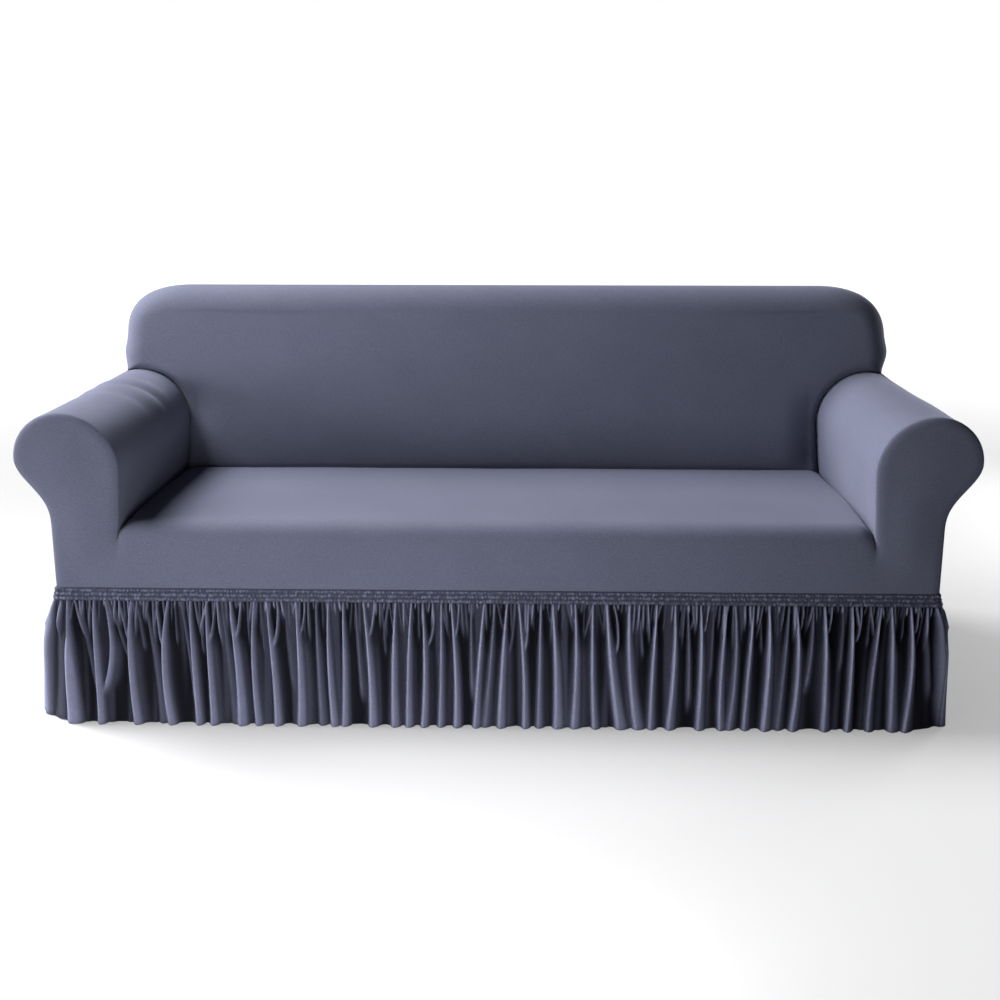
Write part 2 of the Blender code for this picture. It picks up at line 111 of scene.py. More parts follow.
bpy.ops.object.select_all(action="DESELECT")
bpy.ops.mesh.primitive_plane_add(size=1.0)
floor = bpy.context.object
floor.name = floor.data.name = "studio_floor"
bpy.ops.object.mode_set(mode="EDIT")
bpy.ops.transform.resize(value=(FLOOR_SIDE, FLOOR_SIDE, 1.0))
bpy.ops.object.mode_set(mode="OBJECT")

pale = bpy.data.materials.new("pale_floor")
pale.use_nodes = True
pale_shader = pale.node_tree.nodes["Principled BSDF"]
pale_shader.inputs["Base Color"].default_value = (0.30, 0.30, 0.305, 1.0)
pale_shader.inputs["Roughness"].default_value = 0.7
pale_shader.inputs["Emission Color"].default_value = (1.0, 1.0, 1.0, 1.0)
place_on_floor = pale.node_tree.nodes.new("ShaderNodeTexCoord")
distance = pale.node_tree.nodes.new("ShaderNodeVectorMath")
distance.operation = "LENGTH"
pale.node_tree.links.new(place_on_floor.outputs["Object"], distance.inputs[0])
(near, near_glow), (far, far_glow) = GLOW_NEAR, GLOW_FAR
glow = remap(pale.node_tree, distance.outputs["Value"], near, far, near_glow, far_glow)
kind_of_ray = pale.node_tree.nodes.new("ShaderNodeLightPath")
shown = maths(pale.node_tree, "MULTIPLY", glow, kind_of_ray.outputs["Is Camera Ray"])
pale.node_tree.links.new(shown, pale_shader.inputs["Emission Strength"])
floor.data.materials.append(pale)
print("floor:", [round(v, 1) for v in floor.dimensions])


# %% Soft panels of light
def soft_panel(name, at, towards, size, power):
    """An area light at a place, aimed at a point of the cover; its power is in watts."""
    lamp = bpy.data.lights.new(name, "AREA")
    lamp.shape = "RECTANGLE"
    lamp.size, lamp.size_y = size
    lamp.energy = power
    holder = bpy.data.objects.new(name, lamp)
    bpy.context.scene.collection.objects.link(holder)
    holder.location = at
    holder.visible_camera = False
    way = np.array(towards) - np.array(at)
    level = math.hypot(way[0], way[1])
    holder.rotation_euler = (math.atan2(level, -way[2]), 0.0, math.atan2(way[1], way[0]) - math.pi / 2)


PANEL = (0.9, 0.9)
MIDDLE = (0.0, -0.15, 0.45)  # of the seat
soft_panel("light_side", (-3.2, -1.1, 0.9), MIDDLE, PANEL, 64.0)
soft_panel("light_high", (-2.1, 0.0, 2.6), MIDDLE, PANEL, 105.0)
soft_panel("light_front", (-0.40, -1.65, 0.36), (-0.30, -0.4, 0.26), (1.3, 0.4), 14.5)
soft_panel("light_fill", (2.7, 1.5, 0.9), (1.0, 0.0, 0.3), PANEL, 32.0)

# %% Daylight
WINDOW_AT = (-5.0, 2.5, 5.0)  # only its direction matters, as the daylight's rays are parallel

sun = bpy.data.lights.new("light_window", "SUN")
sun.energy = 4.1
sun.angle = 0.5  # radians: broad enough for soft edges to its shadows
window = bpy.data.objects.new("light_window", sun)
bpy.context.scene.collection.objects.link(window)
window.location = WINDOW_AT
level = math.hypot(WINDOW_AT[0], WINDOW_AT[1])
turn = math.atan2(-WINDOW_AT[1], -WINDOW_AT[0]) - math.pi / 2
window.rotation_euler = (math.atan2(level, WINDOW_AT[2]), 0.0, turn)
print("daylight from", WINDOW_AT)

# %% Air
surroundings = bpy.data.worlds.new("studio_air")
surroundings.use_nodes = True
air = surroundings.node_tree
dim_air = air.nodes["Background"]
dim_air.inputs["Color"].default_value = (0.90, 0.92, 0.96, 1.0)
dim_air.inputs["Strength"].default_value = 0.015
pale_air = air.nodes.new("ShaderNodeBackground")
pale_air.inputs["Color"].default_value = (1.0, 1.0, 1.0, 1.0)
seen = air.nodes.new("ShaderNodeLightPath")
either = air.nodes.new("ShaderNodeMixShader")
air.links.new(seen.outputs["Is Camera Ray"], either.inputs["Fac"])
air.links.new(dim_air.outputs["Background"], either.inputs[1])
air.links.new(pale_air.outputs["Background"], either.inputs[2])
air.links.new(either.outputs["Shader"], air.nodes["World Output"].inputs["Surface"])
bpy.context.scene.world = surroundings
bpy.context.scene.view_settings.view_transform = "Standard"
print("the air gives a light of", dim_air.inputs["Strength"].default_value)

# %% [markdown]
# ## Knitted cloth
# Close up, the cloth is a fine knit: dark navy and slate yarns twisted together, in narrow ribs that run
# with the length of each panel. A knit like this is best painted by nodes on the piece's own UV map, laid
# out in metres, because the ribs then turn with the cloth. Waves make the ribs, stretched noise makes the
# flecks of lighter yarn, and a broad, weak noise keeps large panels from looking printed. Sheen on the
# shader gives the soft light edge that brushed yarn has. The skirt and the band also carry a value at
# every point that paints shade into the cloth's colour deep between two folds and a painted highlight on
# the crests, and the band's yarns are painted darker than the panels', as shade among its puckers.

# %% Ribs and noise on the cloth
def ribs_along(tree, cloth_place, rib_mm):
    """Waves that run with the length of the cloth, one every rib_mm."""
    spaced = tree.nodes.new("ShaderNodeMapping")
    # at a scale of 1 the wave texture has twenty waves in 2 pi
    spaced.inputs["Scale"].default_value = (1000.0 / rib_mm / 20.0 * math.pi * 2, 40.0, 1.0)
    tree.links.new(cloth_place.outputs["UV"], spaced.inputs["Vector"])
    ribs = tree.nodes.new("ShaderNodeTexWave")
    ribs.bands_direction = "X"
    ribs.inputs["Scale"].default_value = 1.0
    ribs.inputs["Distortion"].default_value = 1.2
    ribs.inputs["Detail"].default_value = 1.0
    tree.links.new(spaced.outputs["Vector"], ribs.inputs["Vector"])
    return ribs.outputs["Fac"]


def grain(tree, cloth_place, scale, along, detail=2.0, rough=0.55):
    """Noise on the cloth; along, below 1, draws it out with the ribs."""
    spaced = tree.nodes.new("ShaderNodeMapping")
    spaced.inputs["Scale"].default_value = (scale, scale * along, 1.0)
    tree.links.new(cloth_place.outputs["UV"], spaced.inputs["Vector"])
    made_noise = tree.nodes.new("ShaderNodeTexNoise")
    made_noise.inputs["Scale"].default_value = 1.0
    made_noise.inputs["Detail"].default_value = detail
    made_noise.inputs["Roughness"].default_value = rough
    tree.links.new(spaced.outputs["Vector"], made_noise.inputs["Vector"])
    return made_noise.outputs["Fac"]


def mix_colours(tree, blend, share, first, second):
    """Blends two colours, each of them a colour or another node's output."""
    mix = tree.nodes.new("ShaderNodeMix")
    mix.data_type = "RGBA"
    mix.blend_type = blend
    mix.clamp_factor = blend == "MIX"
    # this node keeps its factor in socket 0, its colours in 6 and 7, and the blended colour in output 2
    for socket, value in ((0, share), (6, first), (7, second)):
        if isinstance(value, bpy.types.NodeSocket):
            tree.links.new(value, mix.inputs[socket])
        else:
            mix.inputs[socket].default_value = value
    return mix.outputs[2]


# %% Knit
# painted highlight: the colour on a crest of gathered cloth is brightened this much
PAINTED_CREST_HIGHLIGHT = 1.95  # on a crest of gathered cloth, where the tone of flat cloth is 1


def knit(name, dark, light, rib_mm=1.7, bump=0.25, sheen=0.16, painted_gather_shade=None):
    """A knit of a dark and a light yarn; its last argument paints shade between gathers and a highlight on
    their crests.
    """
    made = bpy.data.materials.new(name)
    made.use_nodes = True
    tree = made.node_tree
    shader = tree.nodes["Principled BSDF"]
    shader.inputs["Roughness"].default_value = 0.92
    shader.inputs["Specular IOR Level"].default_value = 0.25 if painted_gather_shade is None else 0.08
    shader.inputs["Sheen Weight"].default_value = sheen
    shader.inputs["Sheen Roughness"].default_value = 0.45
    shader.inputs["Sheen Tint"].default_value = (0.72, 0.77, 1.0, 1.0)
    cloth_place = tree.nodes.new("ShaderNodeUVMap")
    cloth_place.uv_map = "UVMap"

    ribs = ribs_along(tree, cloth_place, rib_mm)
    flecks = remap(tree, grain(tree, cloth_place, 900.0, 0.28, 3.0, 0.65), 0.35, 0.68)
    streaks = remap(tree, grain(tree, cloth_place, 260.0, 0.2), 0.3, 0.7)
    clouds = remap(tree, grain(tree, cloth_place, 7.0, 1.0, 3.0), 0.3, 0.7)
    yarn = maths(tree, "ADD", maths(tree, "MULTIPLY", flecks, 0.55), maths(tree, "MULTIPLY", streaks, 0.10))
    yarn = maths(tree, "ADD", yarn, maths(tree, "MULTIPLY", clouds, 0.07))
    yarn = maths(tree, "MULTIPLY", yarn, remap(tree, ribs, 0.0, 1.0, 0.62, 1.0))

    tone = mix_colours(tree, "MIX", yarn, (*dark, 1.0), (*light, 1.0))
    # painted shade and highlight: the colour is multiplied down between two gathers and up on their crests
    if painted_gather_shade is not None:
        painted_fold_shading = tree.nodes.new("ShaderNodeAttribute")
        painted_fold_shading.attribute_name = "painted_fold_shading"
        painted_shade_and_highlight = remap(tree, painted_fold_shading.outputs["Fac"], 0.0, 1.0, painted_gather_shade, PAINTED_CREST_HIGHLIGHT)
        tone = mix_colours(tree, "MULTIPLY", 1.0, tone, painted_shade_and_highlight)
    tree.links.new(tone, shader.inputs["Base Color"])

    relief = tree.nodes.new("ShaderNodeBump")
    relief.inputs["Strength"].default_value = bump
    relief.inputs["Distance"].default_value = 0.0006
    tree.links.new(maths(tree, "ADD", ribs, maths(tree, "MULTIPLY", flecks, 0.6)), relief.inputs["Height"])
    tree.links.new(relief.outputs["Normal"], shader.inputs["Normal"])
    return made


panel_knit = knit("knit_panels", (0.070, 0.075, 0.115), (0.170, 0.180, 0.252))
# the band's yarns are painted darker than the panels' as shade among its puckers, with painted shade
# between the puckers and a painted highlight on them
band_knit_painted_shading = knit(
    "knit_band_painted_shading", (0.055, 0.058, 0.092), (0.150, 0.157, 0.225), rib_mm=1.2, bump=0.4, painted_gather_shade=0.56
)
# painted shade deep in the skirt's valleys and a painted highlight on its crests
skirt_knit_painted_shading = knit("knit_skirt_painted_shading", (0.070, 0.073, 0.113), (0.172, 0.179, 0.255), sheen=0.09, painted_gather_shade=0.07)
print("finishes:", [m.name for m in bpy.data.materials if m.name.startswith("knit_")])

# %% [markdown]
# ## Making a sheet
# A grid's points come in rows, so NumPy can hold them as an array of rows, columns and x, y, z. Each
# piece below is a function that fills such an array. The columns run to the right and the rows run up,
# seen from outside the cover, and then the faces look outwards. Cloth could also be simulated or
# sculpted; an array puts each fold just where it is seen on the real cover. The UV map is measured on the
# shaped cloth, in metres, so that a rib is as wide on the skirt as on the seat. The Solidify modifier
# gives the sheet its thickness, inwards.

# %% Soft steps and lines
CLOTH = 0.0018  # thickness of the knit, m


def smooth(low, high, value):
    """0 below low, 1 above high and a soft step between."""
    t = np.clip((np.asarray(value, float) - low) / (high - low), 0.0, 1.0)
    return t * t * (3 - 2 * t)


def lerp(a, b, t):
    """The value at share t of the way from a to b."""
    return a + (b - a) * t


def run_along(line):
    """Distance of each point of a line from its start."""
    steps = np.linalg.norm(np.diff(line, axis=0), axis=1)
    return np.concatenate([[0.0], np.cumsum(steps)])


def at_fractions(line, fractions):
    """Points of a line at fractions of its length."""
    line = np.asarray(line, float)
    along = run_along(line)
    wanted = np.asarray(fractions) * along[-1]
    return np.stack([np.interp(wanted, along, line[:, k]) for k in range(line.shape[1])], 1)


print("the knit is", CLOTH * 1000, "mm thick")


# %% The way a sheet faces, and its UV map
def facing(points):
    """Unit normals of a grid of points, out of its front."""
    right = np.gradient(points, axis=1)
    up = np.gradient(points, axis=0)
    out = np.cross(right, up)
    return out / np.maximum(np.linalg.norm(out, axis=2, keepdims=True), 1e-12)


def cloth_uv(points):
    """UVs in metres: across from the middle column, and up from the first row."""
    steps = np.linalg.norm(np.diff(points, axis=1), axis=2)
    across = np.concatenate([np.zeros((len(points), 1)), np.cumsum(steps, axis=1)], axis=1)
    across -= across[:, [points.shape[1] // 2]]
    up = np.median(np.linalg.norm(np.diff(points, axis=0), axis=2), axis=1)
    up = np.concatenate([[0.0], np.cumsum(up)])[:, None] * np.ones((1, points.shape[1]))
    return np.stack([across, up], axis=2)


# %% A grid, shaped
def lay_grid(name, points, uv=None, painted_fold_shading=None):
    """Adds a grid, moves its points into place and maps it; its painted shading is 0 in a valley, 1 on a
    crest.
    """
    rows, columns = points.shape[:2]
    bpy.ops.object.select_all(action="DESELECT")
    bpy.ops.mesh.primitive_grid_add(
        x_subdivisions=columns - 1, y_subdivisions=rows - 1, size=1.0, calc_uvs=True
    )
    sheet = bpy.context.object
    sheet.name = sheet.data.name = name
    sheet.data.vertices.foreach_set("co", points.reshape(-1))
    corner_point = np.empty(len(sheet.data.loops), int)
    sheet.data.loops.foreach_get("vertex_index", corner_point)
    uv = cloth_uv(points) if uv is None else uv
    sheet.data.uv_layers[0].name = "UVMap"
    sheet.data.uv_layers[0].data.foreach_set("uv", uv.reshape(-1, 2)[corner_point].reshape(-1))
    # a value for painted shade in the valleys and a painted highlight on the crests
    if painted_fold_shading is not None:
        height = sheet.data.attributes.new("painted_fold_shading", "FLOAT", "POINT")
        height.data.foreach_set("value", np.ascontiguousarray(painted_fold_shading, dtype=float).reshape(-1))
    sheet.data.update()
    return sheet


# %% Joining and finishing
def only(*pieces):
    """Selects these pieces and nothing else."""
    bpy.ops.object.select_all(action="DESELECT")
    for piece in pieces:
        piece.select_set(True)
    bpy.context.view_layer.objects.active = pieces[0]


def sew_together(pieces, towards_rear=None):
    """Joins grids and merges points that they share; a face and its rim are turned to look outwards."""
    only(*pieces)
    if len(pieces) > 1:
        bpy.ops.object.join()
    bpy.ops.object.mode_set(mode="EDIT")
    bpy.ops.mesh.select_all(action="SELECT")
    bpy.ops.mesh.remove_doubles(threshold=0.00005)
    if towards_rear is not None:
        bpy.ops.mesh.normals_make_consistent(inside=False)
    bpy.ops.object.mode_set(mode="OBJECT")
    joined = pieces[0]
    if towards_rear is not None:
        # the inside back looks to the front and the outside back to the rear
        rearward = np.mean([face.normal.y * face.area for face in joined.data.polygons])
        if (rearward > 0) != towards_rear:
            joined.data.flip_normals()
    return joined


def finish_cloth(sheet, finish, slot, thickness=CLOTH):
    """Gives the cloth its thickness, shading and finish, and says what it is."""
    only(sheet)
    bpy.ops.object.modifier_add(type="SOLIDIFY")
    wall = sheet.modifiers[-1]
    wall.thickness = thickness
    wall.offset = -1.0
    bpy.ops.object.modifier_apply(modifier=wall.name)
    sheet.data.shade_smooth()
    sheet.data.materials.clear()
    sheet.data.materials.append(finish)
    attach(sheet, "root")
    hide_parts(slot)
    print(sheet.name, "has", sum(len(f.vertices) - 2 for f in sheet.data.polygons), "triangles")


# %% Unevenness of stretched cloth
RIPPLES = 7


def ripple(points, seed, amount, wavelength):
    """A few crossing waves, very low; amount is about how far they reach."""
    dice = np.random.default_rng(seed)
    total = np.zeros(points.shape[:2])
    for _ in range(RIPPLES):
        way = dice.normal(size=3)
        way *= 2 * math.pi / (wavelength * dice.uniform(0.5, 1.3)) / np.linalg.norm(way)
        total += np.sin(points @ way + dice.uniform(0, 6.28))
    return amount * total / math.sqrt(RIPPLES * 2)


# %% [markdown]
# ## Outlines of an arm
# An arm front is scroll-shaped: a straight post, hollowed under a roll that leans outwards. The same
# outline is used for the front and for the long sleeve behind it, so it is written once, from the sizes
# of the model. It could be a drawn curve, but quarter ellipses and soft steps are easy to measure and to
# cut at any height.

# %% Sizes of the model
HALF_DEPTH = 0.445  # its front and rear planes, from the middle
PANEL_LOW = 0.286  # lower edge of the panels, behind the band
BAND_TOP = 0.3145
ARM_IN, ARM_IN_HIGH, ARM_OUT = 0.853, 0.838, 1.004  # a post's inner face, the same further up, outer face
CREASE_END = 0.427  # height at which the seat's creases end on the front
TIP_Z = {-1: 0.4346, 1: 0.4196}  # the same, left and right: the left one ends higher
ROLL_START_Z, POST_TOP_Z = 0.590, 0.450  # where the roll begins, on the inner and on the outer face
ROLL_TOP = (0.970, 0.717)  # x and z
ROLL_OUT = (1.077, 0.613)
ROLL_WIDE, ROLL_TALL = ROLL_OUT[0] - ROLL_TOP[0], ROLL_TOP[1] - ROLL_OUT[1]
SEAT_Z, SEAT_BACK_Y = 0.468, 0.143
CREASE = 0.028  # depth of a tucked crease
SEWN = 0.0004  # between two edges that are sewn together
MIRRORED = np.array([-1.0, 1.0, 1.0])  # makes the left side of the right one
print("each roll reaches", round(1000 * (ROLL_OUT[0] - ARM_OUT)), "mm past the post below it")


# %% The arm's outline
def quarter(centre, half_axes, start, stop, steps=48):
    """Points of an ellipse between two angles, in degrees."""
    a = np.radians(np.linspace(start, stop, steps + 1))
    return np.stack([centre[0] + half_axes[0] * np.cos(a), centre[1] + half_axes[1] * np.sin(a)], 1)


def inner_x(z, tip=CREASE_END):
    """The arm's inner face, which leans over the seat a little above the crease."""
    lean = lerp(ARM_IN, ARM_IN_HIGH, smooth(0.327, 0.670, z))
    return lerp(ARM_IN, lean, smooth(tip - 0.005, tip + 0.040, z))


def outer_x(z):
    """The arm's outer face: a straight post, hollowed where the roll leans out over it."""
    t = np.clip((np.asarray(z, float) - POST_TOP_Z) / (ROLL_OUT[1] - POST_TOP_Z), 0.0, 1.0)
    return lerp(ARM_OUT, ROLL_OUT[0], (0.5 - 0.5 * np.cos(np.pi * t)) ** 1.6)


def inner_line(low, tip=CREASE_END):
    """(x, z) up the inner face and over the roll to its top."""
    z = np.linspace(low, ROLL_START_Z, 60)
    wall = np.stack([inner_x(z, tip), z], 1)
    half_axes = (ROLL_TOP[0] - wall[-1][0], ROLL_TOP[1] - ROLL_START_Z)
    roll = quarter((ROLL_TOP[0], ROLL_START_Z), half_axes, 180, 90)
    return np.concatenate([wall, roll[1:]])


def outer_line(low=PANEL_LOW):
    """(x, z) up the outer face and over the roll to its top."""
    z = np.linspace(low, ROLL_OUT[1], 80)
    wall = np.stack([outer_x(z), z], 1)
    roll = quarter((ROLL_TOP[0], ROLL_OUT[1]), (ROLL_WIDE, ROLL_TALL), 0, 90)
    return np.concatenate([wall, roll[1:]])


def arm_lift(z, y):
    """The roll rises a little to the rear and sags between its ends."""
    along = np.clip((np.asarray(y, float) + HALF_DEPTH) / (2 * HALF_DEPTH), 0.0, 1.0)
    return (0.004 * along - 0.004 * np.sin(np.pi * along)) * smooth(POST_TOP_Z, ROLL_TOP[1], z)


arm_round = run_along(inner_line(CREASE_END))[-1] + run_along(outer_line())[-1]
print("from the crease over the roll to the band:", round(arm_round, 3), "m")

# %% [markdown]
# ## Front panel
# Seat, front apron and both arm fronts are one piece of knit. The stuffing under it makes every edge
# round: the seat turns down over a soft nose, and each arm front rolls back over two or three centimetres
# to its seam. The seat's sides sink into creases along the arms, and below the end of each crease the
# cloth only dimples. A single grid would be squeezed badly where the seat meets the scrolls, so three are
# laid (the middle and the two arm fronts), joined and merged where they share an edge.

# %% Rows and columns of the middle
NOSE = 0.045  # depth of the seat's rounded front edge
RIM_WIDE, RIM_DEEP = 0.024, 0.0095  # how an arm front rounds back to its seam
DIMPLE_TALL = 0.045  # the dimple fades this far below a crease's end
APRON_ROWS = 20
# distances from the crease: the points lie closer together there
EDGE_STEPS = (0.0, 0.0015, 0.0035, 0.006, 0.009, 0.0125, 0.0165, 0.021, 0.026, 0.032, 0.039, 0.047)


def round_off(distance, wide, deep):
    """How far cloth falls away near an edge, as a quarter of an ellipse."""
    t = np.clip(1 - np.asarray(distance, float) / wide, 0.0, 1.0)
    return deep * (1 - np.sqrt(np.maximum(1 - t * t, 0.0)))


def middle_columns():
    """Distances from the middle, as fractions of the half width."""
    from_edge = np.array(EDGE_STEPS) / ARM_IN
    even = np.linspace(0.0, 1 - from_edge[-1], 80)[:-1]
    half = np.concatenate([even, 1 - from_edge[::-1]])
    return np.concatenate([-half[:0:-1], half])


def middle_rows():
    """For each row, from the band up and back: its part of the panel, and its share of the way along it."""
    rows = [("apron", t) for t in np.linspace(0.0, 1.0, APRON_ROWS)]
    for part, steps in (("nose", 17), ("seat", 46), ("rear", 12)):
        rows += [(part, t) for t in np.linspace(0.0, 1.0, steps)[1:]]
    return rows + [("under", 0.4), ("under", 1.0)]  # a little more cloth, tucked in under the back


across = middle_columns()
tip = np.where(across < 0, TIP_Z[-1], TIP_Z[1])
tip = lerp(CREASE_END, tip, smooth(0.55, 0.98, np.abs(across)))
print("middle of the front panel:", len(middle_rows()), "rows and", len(across), "columns")

# %% Front panel, middle
REAR_Y, TURN_DOWN = SEAT_BACK_Y + 0.0085, 0.034  # the seat turns down into the rear crease
FURTHER_IN = 0.014  # the cloth under the back reaches this far behind the crease
TUCK_WIDE = 0.042  # the seat rounds down into its side creases over this width
SEAT_SWELL, APRON_SWELL = 0.010, 0.004


def middle_row(part, t):
    """The points of one row."""
    ones = np.ones_like(across)
    from_crease = (1 - np.abs(across)) * ARM_IN
    a = t * math.pi / 2
    # each part: its line over the stuffing, and the way and the share by which its sides are tucked in
    if part == "apron":
        z = lerp(PANEL_LOW, tip, t)
        y = -HALF_DEPTH * ones
        y = y + round_off(np.hypot(from_crease, (tip - z) * RIM_WIDE / DIMPLE_TALL), RIM_WIDE, RIM_DEEP)
        tuck = 0.0
    elif part == "nose":
        y = (-HALF_DEPTH + NOSE - NOSE * math.cos(a) ** 0.78) * ones
        z = tip + (SEAT_Z - tip) * math.sin(a) ** 0.78
        tuck_y, tuck_z, tuck = math.cos(a), -math.sin(a), 1.0
    elif part == "seat":
        y = lerp(-HALF_DEPTH + NOSE, REAR_Y - TURN_DOWN, t) * ones
        z = SEAT_Z * ones
        tuck_y, tuck_z, tuck = 0.0, -1.0, 1.0
    elif part == "rear":
        y = (REAR_Y - TURN_DOWN + TURN_DOWN * math.sin(a)) * ones
        z = (SEAT_Z - CREASE * (1 - math.cos(a))) * ones
        tuck_y, tuck_z, tuck = 0.0, -1.0, 1 - t
    else:
        y = (REAR_Y + FURTHER_IN * t) * ones
        z = (SEAT_Z - CREASE - 0.003) * ones
        tuck = 0.0
    if tuck:
        grown = 1.0 if part != "nose" else math.sin(a) ** 0.8
        wide, deep = lerp(RIM_WIDE, TUCK_WIDE, grown), lerp(RIM_DEEP, CREASE, grown)
        deep = deep * (tuck if part == "rear" else 1)
        if part == "seat":
            deep *= 1 - 0.55 * math.sin(math.pi * min(1.0, 1.15 * t)) ** 0.8
        fall = round_off(from_crease, wide, deep)
        y, z = y + tuck_y * fall, z + tuck_z * fall
    # the stuffing swells the seat upwards and the apron forwards, most in the middle
    swell = 1 - np.abs(across) ** 4
    z = z + SEAT_SWELL * smooth(-HALF_DEPTH, -0.20, y) * (1 - smooth(0.0, SEAT_BACK_Y, y)) * swell
    if part in ("apron", "nose"):
        face = np.sin(np.pi * np.clip((z - BAND_TOP) / (SEAT_Z - BAND_TOP), 0, 1))
        y = y - APRON_SWELL * face * swell * (1 if part == "apron" else math.cos(a))
    edge = ARM_IN * ones if part == "apron" else inner_x(z, tip) - SEWN
    return np.stack([across * edge, y, z], 1)


middle_points = np.array([middle_row(part, t) for part, t in middle_rows()])
soft = ripple(middle_points, 11, 0.0009, 0.42) * smooth(0.0, 0.10, ARM_IN - np.abs(middle_points[:, :, 0]))
soft *= smooth(PANEL_LOW, 0.36, middle_points[:, :, 2])
middle_points += facing(middle_points) * soft[:, :, None]
print("highest point of the seat:", round(float(middle_points[:, :, 2].max()), 4))


# %% Distances across an arm front
def nearest(points, line):
    """Distance of each point from a line, in the x-z plane."""
    best = np.full(points.shape[:-1], np.inf)
    for p, q in zip(line[:-1], line[1:]):
        d = q - p
        t = np.clip(((points - p) @ d) / max(d @ d, 1e-15), 0.0, 1.0)
        best = np.minimum(best, np.linalg.norm(points - p - t[..., None] * d, axis=-1))
    return best


ARM_MIDDLE = np.array([0.93, 0.55])  # x and z
ARM_SWELL = 0.006
to_edge = float(nearest(ARM_MIDDLE[None, :], outer_line())[0])
print("from the middle of an arm front to its outer edge:", round(to_edge, 3), "m")


# %% Front panel, arm fronts
def arm_front_points(side):
    """Rows across an arm front, from its inner edge to its outer one, and their UVs."""
    end = TIP_Z[side]
    inner = inner_line(end, end)
    outer = outer_line(end)
    steps = np.linspace(0.0, 1.0, 52)
    z_low = lerp(PANEL_LOW, end, np.linspace(0.0, 1.0, APRON_ROWS))[:-1]
    left = np.concatenate([np.stack([np.full_like(z_low, ARM_IN), z_low], 1), at_fractions(inner, steps)])
    right = np.concatenate([np.stack([np.full_like(z_low, ARM_OUT), z_low], 1), at_fractions(outer, steps)])
    edge = np.array(EDGE_STEPS[:-2]) / 0.16  # an arm front is about 0.16 m wide
    across = np.concatenate([edge, np.linspace(edge[-1], 1 - edge[-1], 14)[1:-1], 1 - edge[::-1]])
    flat = left[:, None, :] * (1 - across)[None, :, None] + right[:, None, :] * across[None, :, None]
    rim = np.concatenate([inner, outer_line()[::-1]])
    far = nearest(flat, rim)
    x, z = flat[..., 0], flat[..., 1]
    below = z < end
    dimple = np.hypot(x - ARM_IN, (end - z) * RIM_WIDE / DIMPLE_TALL)
    to_outer = nearest(flat, outer_line())
    far = np.where(below, np.minimum(dimple, to_outer), far)
    y = -HALF_DEPTH + round_off(far, RIM_WIDE, RIM_DEEP)
    u = across[None, :] * np.ones_like(x)
    swell = np.sin(np.pi * u) ** 2 * smooth(BAND_TOP, 0.42, z) * (1 - smooth(0.60, ROLL_TOP[1], z))
    y = y - ARM_SWELL * swell
    # the rim itself is drawn in a little where it is sewn
    pull = SEWN * (1 - smooth(0.0, 0.008, far)) * np.where(below, (to_outer < 0.01), 1.0)
    way = ARM_MIDDLE - flat
    way /= np.maximum(np.linalg.norm(way, axis=-1, keepdims=True), 1e-9)
    x, z = x + way[..., 0] * pull, z + way[..., 1] * pull
    x[:APRON_ROWS, 0], z[:APRON_ROWS, 0] = ARM_IN, left[:APRON_ROWS, 1]
    points = np.stack([x, y, z], 2)
    soft = ripple(points, 21 + side, 0.0007, 0.22) * smooth(0.0, 0.03, far) * smooth(PANEL_LOW, 0.34, z)
    soft *= np.where(below, smooth(0.0, 0.03, x - ARM_IN), 1.0)
    points[..., 1] += soft
    uv = np.stack([points[..., 0], points[..., 2] - PANEL_LOW], 2)
    if side < 0:
        points, uv = points[:, ::-1] * MIRRORED, uv[:, ::-1] * MIRRORED[:2]
    return points.copy(), uv.copy()


print("an arm front has", " x ".join(str(n) for n in arm_front_points(1)[0].shape[:2]), "points")

# %% Join the front panel
pieces = [lay_grid("cover_front", middle_points)]
for side in (-1, 1):
    arm_points, arm_uv = arm_front_points(side)
    pieces.append(lay_grid("arm_front", arm_points, arm_uv))
finish_cloth(sew_together(pieces), panel_knit, "front_panel")

# %% [markdown]
# ## Arm sleeves
# One long piece runs from the seat crease up the inside of the arm, over the roll and down the outside to
# the band. An outline drawn out along the arm would give the same tube, but a grid can also sag, ripple
# and carry the two soft folds of the left arm. Beside the back only the outer part goes on to the rear,
# so the inner part is cut away there, as a maker would notch it.

# %% Folds on the left arm
# ridges and troughs in turn: height, place behind the middle of the arm's length, half width
LEFT_ARM_FOLDS = (
    (0.0030, 0.035, 0.026),
    (-0.0040, -0.010, 0.013),
    (0.0026, -0.065, 0.034),
    (-0.0018, -0.130, 0.020),
)


def left_arm_folds(points):
    """Height of the soft folds that slant across the top of the left arm."""
    at = points[..., 1] + 0.25 * (points[..., 0] - ROLL_TOP[0])
    height = sum(high * np.exp(-(((at - place) / wide) ** 2)) for high, place, wide in LEFT_ARM_FOLDS)
    return height * smooth(0.615, 0.695, points[..., 2])


print(len(LEFT_ARM_FOLDS), "folds and troughs on the left arm")

# %% Points of a sleeve
SLEEVE_FRONT, SLEEVE_REAR = -0.4346, 0.4346  # its seams, front and rear
SLEEVE_LOW = 0.414  # its inner edge, tucked into the crease
DRAWN_IN = 0.0005  # how far the cloth is drawn in along the front seam
SEAM_STEPS = (0.0, 0.0015, 0.0035, 0.006, 0.009, 0.013, 0.018)  # rows lie closer together at the front seam


